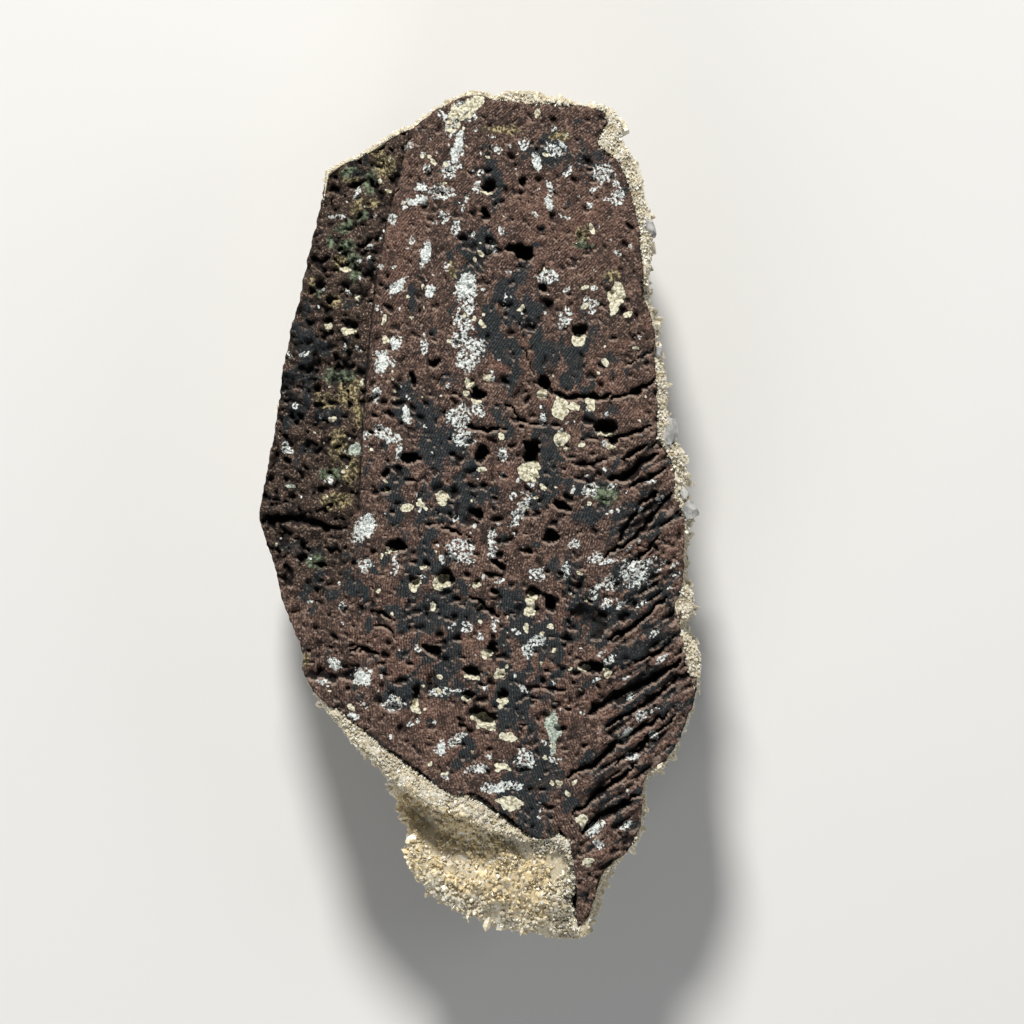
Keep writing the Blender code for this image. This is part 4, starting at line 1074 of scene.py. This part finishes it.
# %% A node tree that grows crystals on a surface
def growing_tree():
    tree = bpy.data.node_groups.new("grow crystals", "GeometryNodeTree")
    for name, kind in (("Surface", "Geometry"), ("Spacing", "Float"), ("Smallest", "Float"), ("Largest", "Float"),
                       ("Lean", "Float"), ("Seed", "Int"), ("Shapes", "Collection"), ("Finish", "Material")):
        tree.interface.new_socket(name, in_out="INPUT", socket_type="NodeSocket" + kind)
    tree.interface.new_socket("Crystals", in_out="OUTPUT", socket_type="NodeSocketGeometry")
    given = tree.nodes.new("NodeGroupInput").outputs

    def chance_of(kind, low, high, offset):
        first, out = (0, 0) if kind == "FLOAT_VECTOR" else (2, 1)
        inputs = {first: low, first + 1: high, "Seed": sums(tree, "ADD", given["Seed"], offset)}
        return node(tree, "FunctionNodeRandomValue", inputs, data_type=kind).outputs[out]

    cover = node(tree, "GeometryNodeInputNamedAttribute", {"Name": "cover"}, data_type="FLOAT")
    points = node(tree, "GeometryNodeDistributePointsOnFaces",
                  {"Mesh": given["Surface"], "Distance Min": given["Spacing"], "Density Max": 3e7,
                   "Density Factor": cover.outputs["Attribute"], "Seed": given["Seed"]}, distribute_method="POISSON")
    anyhow = chance_of("FLOAT_VECTOR", (-1, -1, -1), (1, 1, 1), 1)
    lean = node(tree, "ShaderNodeVectorMath", {0: anyhow, "Scale": given["Lean"]}, operation="SCALE")
    way = node(tree, "ShaderNodeVectorMath", {0: points.outputs["Normal"], 1: lean.outputs[0]}, operation="ADD")
    upright = node(tree, "FunctionNodeAlignRotationToVector", {"Vector": way.outputs[0]}, axis="Z")
    spin = node(tree, "FunctionNodeAxisAngleToRotation",
                {"Axis": (0, 0, 1), "Angle": chance_of("FLOAT", 0.0, 6.283, 2)})
    spun = node(tree, "FunctionNodeRotateRotation",
                {"Rotation": upright.outputs["Rotation"], "Rotate By": spin.outputs["Rotation"]},
                rotation_space="LOCAL")
    bias = sums(tree, "POWER", chance_of("FLOAT", 0.0, 1.0, 3), 1.7)
    size = node(tree, "ShaderNodeMapRange", {"Value": bias, "To Min": given["Smallest"], "To Max": given["Largest"]})
    choices = node(tree, "GeometryNodeCollectionInfo",
                   {"Collection": given["Shapes"], "Separate Children": True, "Reset Children": True})
    grown = node(tree, "GeometryNodeInstanceOnPoints",
                 {"Points": points.outputs["Points"], "Instance": choices.outputs["Instances"], "Pick Instance": True,
                  "Rotation": spun.outputs["Rotation"], "Scale": size.outputs["Result"]})
    tint = node(tree, "GeometryNodeStoreNamedAttribute",
                {"Geometry": grown.outputs["Instances"], "Name": "tint", "Value": chance_of("FLOAT", 0.0, 1.0, 4)},
                data_type="FLOAT", domain="INSTANCE")
    real = node(tree, "GeometryNodeRealizeInstances", {"Geometry": tint.outputs["Geometry"]})
    painted = node(tree, "GeometryNodeSetMaterial",
                   {"Geometry": real.outputs["Geometry"], "Material": given["Finish"]})
    node(tree, "NodeGroupOutput", {"Crystals": painted.outputs["Geometry"]})
    return tree


grow = growing_tree()
print(grow.name, len(grow.nodes), "nodes")

# %% Grow crystals and turn them into a plain mesh
def amber_on(mesh, places):
    """Gives each corner of grown crystals the amber share of the ground below it."""
    j = np.clip(((places[:, 0] / PIXEL + MIDDLE_COLUMN) - columns[0, 0]) / CELL, 0, columns.shape[1] - 1).astype(int)
    i = np.clip(((MIDDLE_ROW - places[:, 1] / PIXEL) - rows[0, 0]) / CELL, 0, rows.shape[0] - 1).astype(int)
    layer = mesh.attributes.get("amber") or mesh.attributes.new("amber", "FLOAT", "POINT")
    layer.data.foreach_set("value", amber[i, j].astype(np.float32))


def grown_piece(name, surface, spacing, smallest, largest, lean, seed):
    """Crystals on a surface, as a plain mesh kept inside the CAD box."""
    modifier = surface.modifiers.new("grow", "NODES")
    modifier.node_group = grow
    wanted = {"Spacing": spacing, "Smallest": smallest, "Largest": largest, "Lean": lean, "Seed": seed,
              "Shapes": shapes, "Finish": crystal_finish}
    for item in grow.interface.items_tree:
        if item.item_type == "SOCKET" and item.name in wanted:
            modifier[item.identifier] = wanted[item.name]
    evaluated = surface.evaluated_get(bpy.context.evaluated_depsgraph_get())
    mesh = bpy.data.meshes.new_from_object(evaluated)
    surface.modifiers.remove(modifier)
    places = np.zeros(len(mesh.vertices) * 3, np.float32)
    mesh.vertices.foreach_get("co", places)
    places = np.clip(places.reshape(-1, 3), np.array(cad_low) + HAIR, np.array(cad_high) - HAIR)
    mesh.vertices.foreach_set("co", places.ravel())
    mesh.name = name
    mesh.polygons.foreach_set("use_smooth", [False] * len(mesh.polygons))
    amber_on(mesh, places)
    piece = bpy.data.objects.new(name, mesh)
    bpy.context.scene.collection.objects.link(piece)
    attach(piece, "root")
    print(name, triangle_count(piece), "triangles")


grown_piece("rim_crystals", crust_top, 0.00029, 0.0003, 0.00075, 0.7, 5)

# Among the small crystals of the druse stand larger ones
DRUSE_TOP, DRUSE_RIGHT = -0.040, 0.0135
layer = crust_top.data.attributes["cover"]
in_druse = [1.0 if v.co.y < DRUSE_TOP and v.co.x < DRUSE_RIGHT and cover.value > 0.05 else 0.0
            for v, cover in zip(crust_top.data.vertices, layer.data)]
layer.data.foreach_set("value", in_druse)
grown_piece("druse_crystals", crust_top, 0.0011, 0.0005, 0.0011, 0.9, 6)

# %% [markdown]
# ## Crystals on the sides and underside
# The rest of the crust keeps its CAD solid, which gets the zeolite finish, and crystals grow on all of it that faces
# outwards. The wall that faces the rock is hidden, and nothing may grow where a cavansite ball sits in its nest, so
# those faces are left out of the surface that the tree gets.

# %% Pick the outer faces of the crust
ROSETTES = [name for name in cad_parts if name.startswith("cavansite_rosette_")]
nests = {}
for name in ROSETTES:
    low, high = (Vector(corner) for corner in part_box(name))
    nests[name] = ((low + high) / 2, (high - low).length / 2 / math.sqrt(3))

crust_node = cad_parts["zeolite_crust"]
outer = bmesh.new()
outer.from_mesh(crust_node.data)
bmesh.ops.remove_doubles(outer, verts=outer.verts, dist=0.00001)
unwanted = []
for face in outer.faces:
    centre = face.calc_center_median()
    towards = basalt_tree.ray_cast(centre + face.normal * HAIR, face.normal, 0.0012)[0]
    near_rosette = any((centre - place).length < radius + 0.0002 for place, radius in nests.values())
    in_druse = face.normal.z > 0.5 and centre.z > 0.02 and centre.y < -0.038
    if towards is not None or near_rosette or in_druse:
        unwanted.append(face)
bmesh.ops.delete(outer, geom=unwanted, context="FACES")
outer_mesh = bpy.data.meshes.new("crust outside")
outer.to_mesh(outer_mesh)
outer.free()
crust_outside = bpy.data.objects.new("crust outside", outer_mesh)
bpy.context.scene.collection.objects.link(crust_outside)
print(len(outer_mesh.polygons), "outer faces,", len(unwanted), "left out")

# %% [markdown]
# How densely crystals grow depends on the place. Coarse ones cover the sides and the underside, fine ones the band
# below the sawn edge. On one thin wall beside the strip only very fine ones fit, and the largest stand in groups on
# the faces that look down. A field called cover tells the tree.

# %% Say how densely they grow
def beside_strip(v):
    """True on the wall beside the strip's upper end, where the crust is thin."""
    fray = 0.0015 * float(soft_noise(1000 * v.co.x, 1000 * v.co.y, 2, 142))
    return v.co.x < -0.009 + fray and v.co.y > 0.046 and v.co.z > 0.016 + fray


def cover_by(mesh, share, on_wall):
    """Says how densely crystals grow at each corner of the mesh, and how densely on that wall."""
    layer = mesh.attributes.get("cover") or mesh.attributes.new("cover", "FLOAT", "POINT")
    layer.data.foreach_set("value", [on_wall if beside_strip(v) else max(0.0, min(1.0, share(v)))
                                     for v in mesh.vertices])


def clustered(v):
    """Large crystals stand in groups on the faces that look down."""
    groups = float(two_grains(1000 * v.co.x, 1000 * v.co.y, 9, 4, 0.5, 140))
    return (groups - 0.1) / 0.3 if v.normal.z < -0.2 else 0.0


print(sum(beside_strip(v) for v in outer_mesh.vertices), "corners on the thin wall")

# %% Grow crystals on them
# Each row: cover by place, cover on that wall, spacing, smallest, largest, lean and seed
GROWTHS = {
    "side_crystals": (lambda v: (0.0275 - v.co.z) / 0.002, 0.0, 0.0008, 0.0005, 0.0018, 0.8, 8),
    "edge_crystals": (lambda v: (v.co.z - 0.0245) / 0.002, 0.0, 0.00035, 0.0002, 0.00055, 0.7, 9),
    "fine_crystals": (lambda v: 0.0, 1.0, 0.00026, 0.00018, 0.00042, 0.6, 15),
    "large_crystals": (clustered, 0.0, 0.0018, 0.0012, 0.0034, 0.9, 12),
}
for name, (share, on_wall, *sizes) in GROWTHS.items():
    cover_by(outer_mesh, share, on_wall)
    grown_piece(name, crust_outside, *sizes)
bpy.data.objects.remove(crust_outside)

crust_node.data.materials.clear()
crust_node.data.materials.append(ground_finish)
print("crust node dressed")

# %% [markdown]
# A few larger, clearer crystals stick out of the right edge, greyish like weathered glass. Each is a block that is
# cut by random planes, which leaves the flat, many-sided faces of a worn crystal.

# %% Cut the clear crystals
def glass_finish():
    finish, tree, shader = new_finish("clear zeolite")
    colour = mixed(tree, crisp(tree, grain(tree, 900, 4), 0.35, 0.68), (0.30, 0.305, 0.295), (0.64, 0.64, 0.62))
    plug(tree, shader, {"Base Color": colour, "Roughness": 0.16, "Transmission Weight": 0.35, "IOR": 1.5,
                        "Normal": bumped(tree, grain(tree, 1800), 0.3, 0.0001)})
    return finish


# column, row, depth below the sawn plane, half sizes along x, y and z in mm, and a turn in degrees
CLEAR = ((650, 228, 1.2, 0.8, 1.5, 1.0, 20), (671, 432, 1.0, 1.0, 2.0, 1.1, -8), (690, 510, 0.9, 1.0, 1.3, 1.0, 30),
         (684, 493, 1.0, 0.6, 0.8, 0.8, 0), (659, 352, 0.9, 0.5, 0.9, 0.7, 10))


def cut_crystal(seed):
    draw = random.Random(seed)
    shape = bmesh.new()
    bmesh.ops.create_cube(shape, size=2.0)
    for _ in range(10):
        way = Vector((draw.uniform(-1, 1), draw.uniform(-1, 1), draw.uniform(-1, 1))).normalized()
        everything = shape.verts[:] + shape.edges[:] + shape.faces[:]
        cut = bmesh.ops.bisect_plane(shape, geom=everything, plane_co=way * draw.uniform(0.8, 1.0), plane_no=way,
                                     clear_outer=True)
        rim = [part for part in cut["geom_cut"] if isinstance(part, bmesh.types.BMEdge)]
        bmesh.ops.holes_fill(shape, edges=rim)
    bmesh.ops.remove_doubles(shape, verts=shape.verts, dist=0.001)
    bmesh.ops.recalc_face_normals(shape, faces=shape.faces)
    shape.verts.ensure_lookup_table()
    corners = [v.co.copy() for v in shape.verts]
    faces = [tuple(v.index for v in face.verts) for face in shape.faces]
    shape.free()
    return corners, faces


clear_corners, clear_faces = [], []
for seed, (column, row, depth, half_x, half_y, half_z, turn) in enumerate(CLEAR):
    corners, faces = cut_crystal(seed + 3)
    centre = spot(column, row, SAWN_HEIGHT - depth / 1000)
    placing = Matrix.Rotation(math.radians(turn), 3, "Z") @ Matrix.Diagonal((half_x, half_y, half_z))
    base = len(clear_corners)
    placed = [centre + placing @ corner / 1000 for corner in corners]
    clear_corners += [(p.x, p.y, min(p.z, SAWN_HEIGHT - 0.00003)) for p in placed]
    clear_faces += [tuple(base + k for k in face) for face in faces]
clear_crystals = mesh_piece("clear_crystals", clear_corners, clear_faces, glass_finish(), smooth=False)
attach(clear_crystals, "root")
print("clear crystals:", triangle_count(clear_crystals), "triangles")

# %% [markdown]
# ## Cavansite
# Cavansite grows as balls of flat blue blades that start from one point. A ball is made here by growing blades on a
# small core with the same idea as the crust: points over a sphere, one blade on each. Written out directly, each
# blade is a thin tablet with a point, and the golden angle spreads the blades evenly over the ball.

# %% The cavansite finish and its rosettes
def cavansite_finish():
    finish, tree, shader = new_finish("cavansite")
    deep = mixed(tree, crisp(tree, field(tree, "tint"), 0.0, 1.0), (0.004, 0.06, 0.32), (0.012, 0.2, 0.62))
    colour = mixed(tree, crisp(tree, grain(tree, 900), 0.5, 0.75), deep, (0.03, 0.34, 0.75))
    plug(tree, shader, {"Base Color": colour, "Roughness": running(tree, grain(tree, 2500), 0.14, 0.34),
                        "Normal": bumped(tree, grain(tree, 3600), 0.35, 0.00006)})
    return finish


cavansite = cavansite_finish()


def blade(centre, way, spin, length, width):
    """The corners and faces of one pointed blade that starts near the ball's centre."""
    turn = way.to_track_quat("Z", "Y").to_matrix() @ Matrix.Rotation(spin, 3, "Z")
    thick = 0.32 * width
    outline = [(-0.3, 0.15), (0.3, 0.15), (0.5, 0.74), (-0.5, 0.74)]
    corners = [(a * width, -thick / 2, b * length) for a, b in outline]
    corners += [(a * width, thick / 2, b * length) for a, b in outline]
    corners += [(0, 0, length), (0, 0, 0.1 * length)]
    faces = [(0, 1, 2, 3), (7, 6, 5, 4), (1, 5, 6, 2), (4, 0, 3, 7), (3, 2, 8), (2, 6, 8), (6, 7, 8), (7, 3, 8),
             (1, 0, 9), (5, 1, 9), (4, 5, 9), (0, 4, 9)]
    return [tuple(centre + turn @ Vector(c)) for c in corners], faces


def build_rosette(name):
    centre, radius = nests[name]
    draw = random.Random(name)
    count = int(90 + 14000 * radius)
    corners, faces, tints = [], [], []
    for k in range(count):
        z = 1 - 2 * (k + 0.5) / count
        angle = k * math.pi * (3 - math.sqrt(5))
        ring = math.sqrt(1 - z * z)
        way = Vector((ring * math.cos(angle), ring * math.sin(angle), z))
        way = (way + 0.12 * Vector((draw.uniform(-1, 1), draw.uniform(-1, 1), draw.uniform(-1, 1)))).normalized()
        new_corners, new_faces = blade(centre, way, draw.uniform(0, math.pi), radius * draw.uniform(0.9, 1.06),
                                       radius * draw.uniform(0.16, 0.26))
        base = len(corners)
        corners += [tuple(np.clip(corner, cad_low, cad_high)) for corner in new_corners]
        faces += [tuple(base + c for c in face) for face in new_faces]
        tints += [draw.random()] * len(new_corners)
    piece = mesh_piece(name.replace("rosette", "blades"), corners, faces, cavansite, {"tint": tints}, smooth=False)
    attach(piece, "root")
    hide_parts(name)
    return piece


rosettes = [build_rosette(name) for name in ROSETTES]
print(len(rosettes), "rosettes, the last with", triangle_count(rosettes[-1]), "triangles")
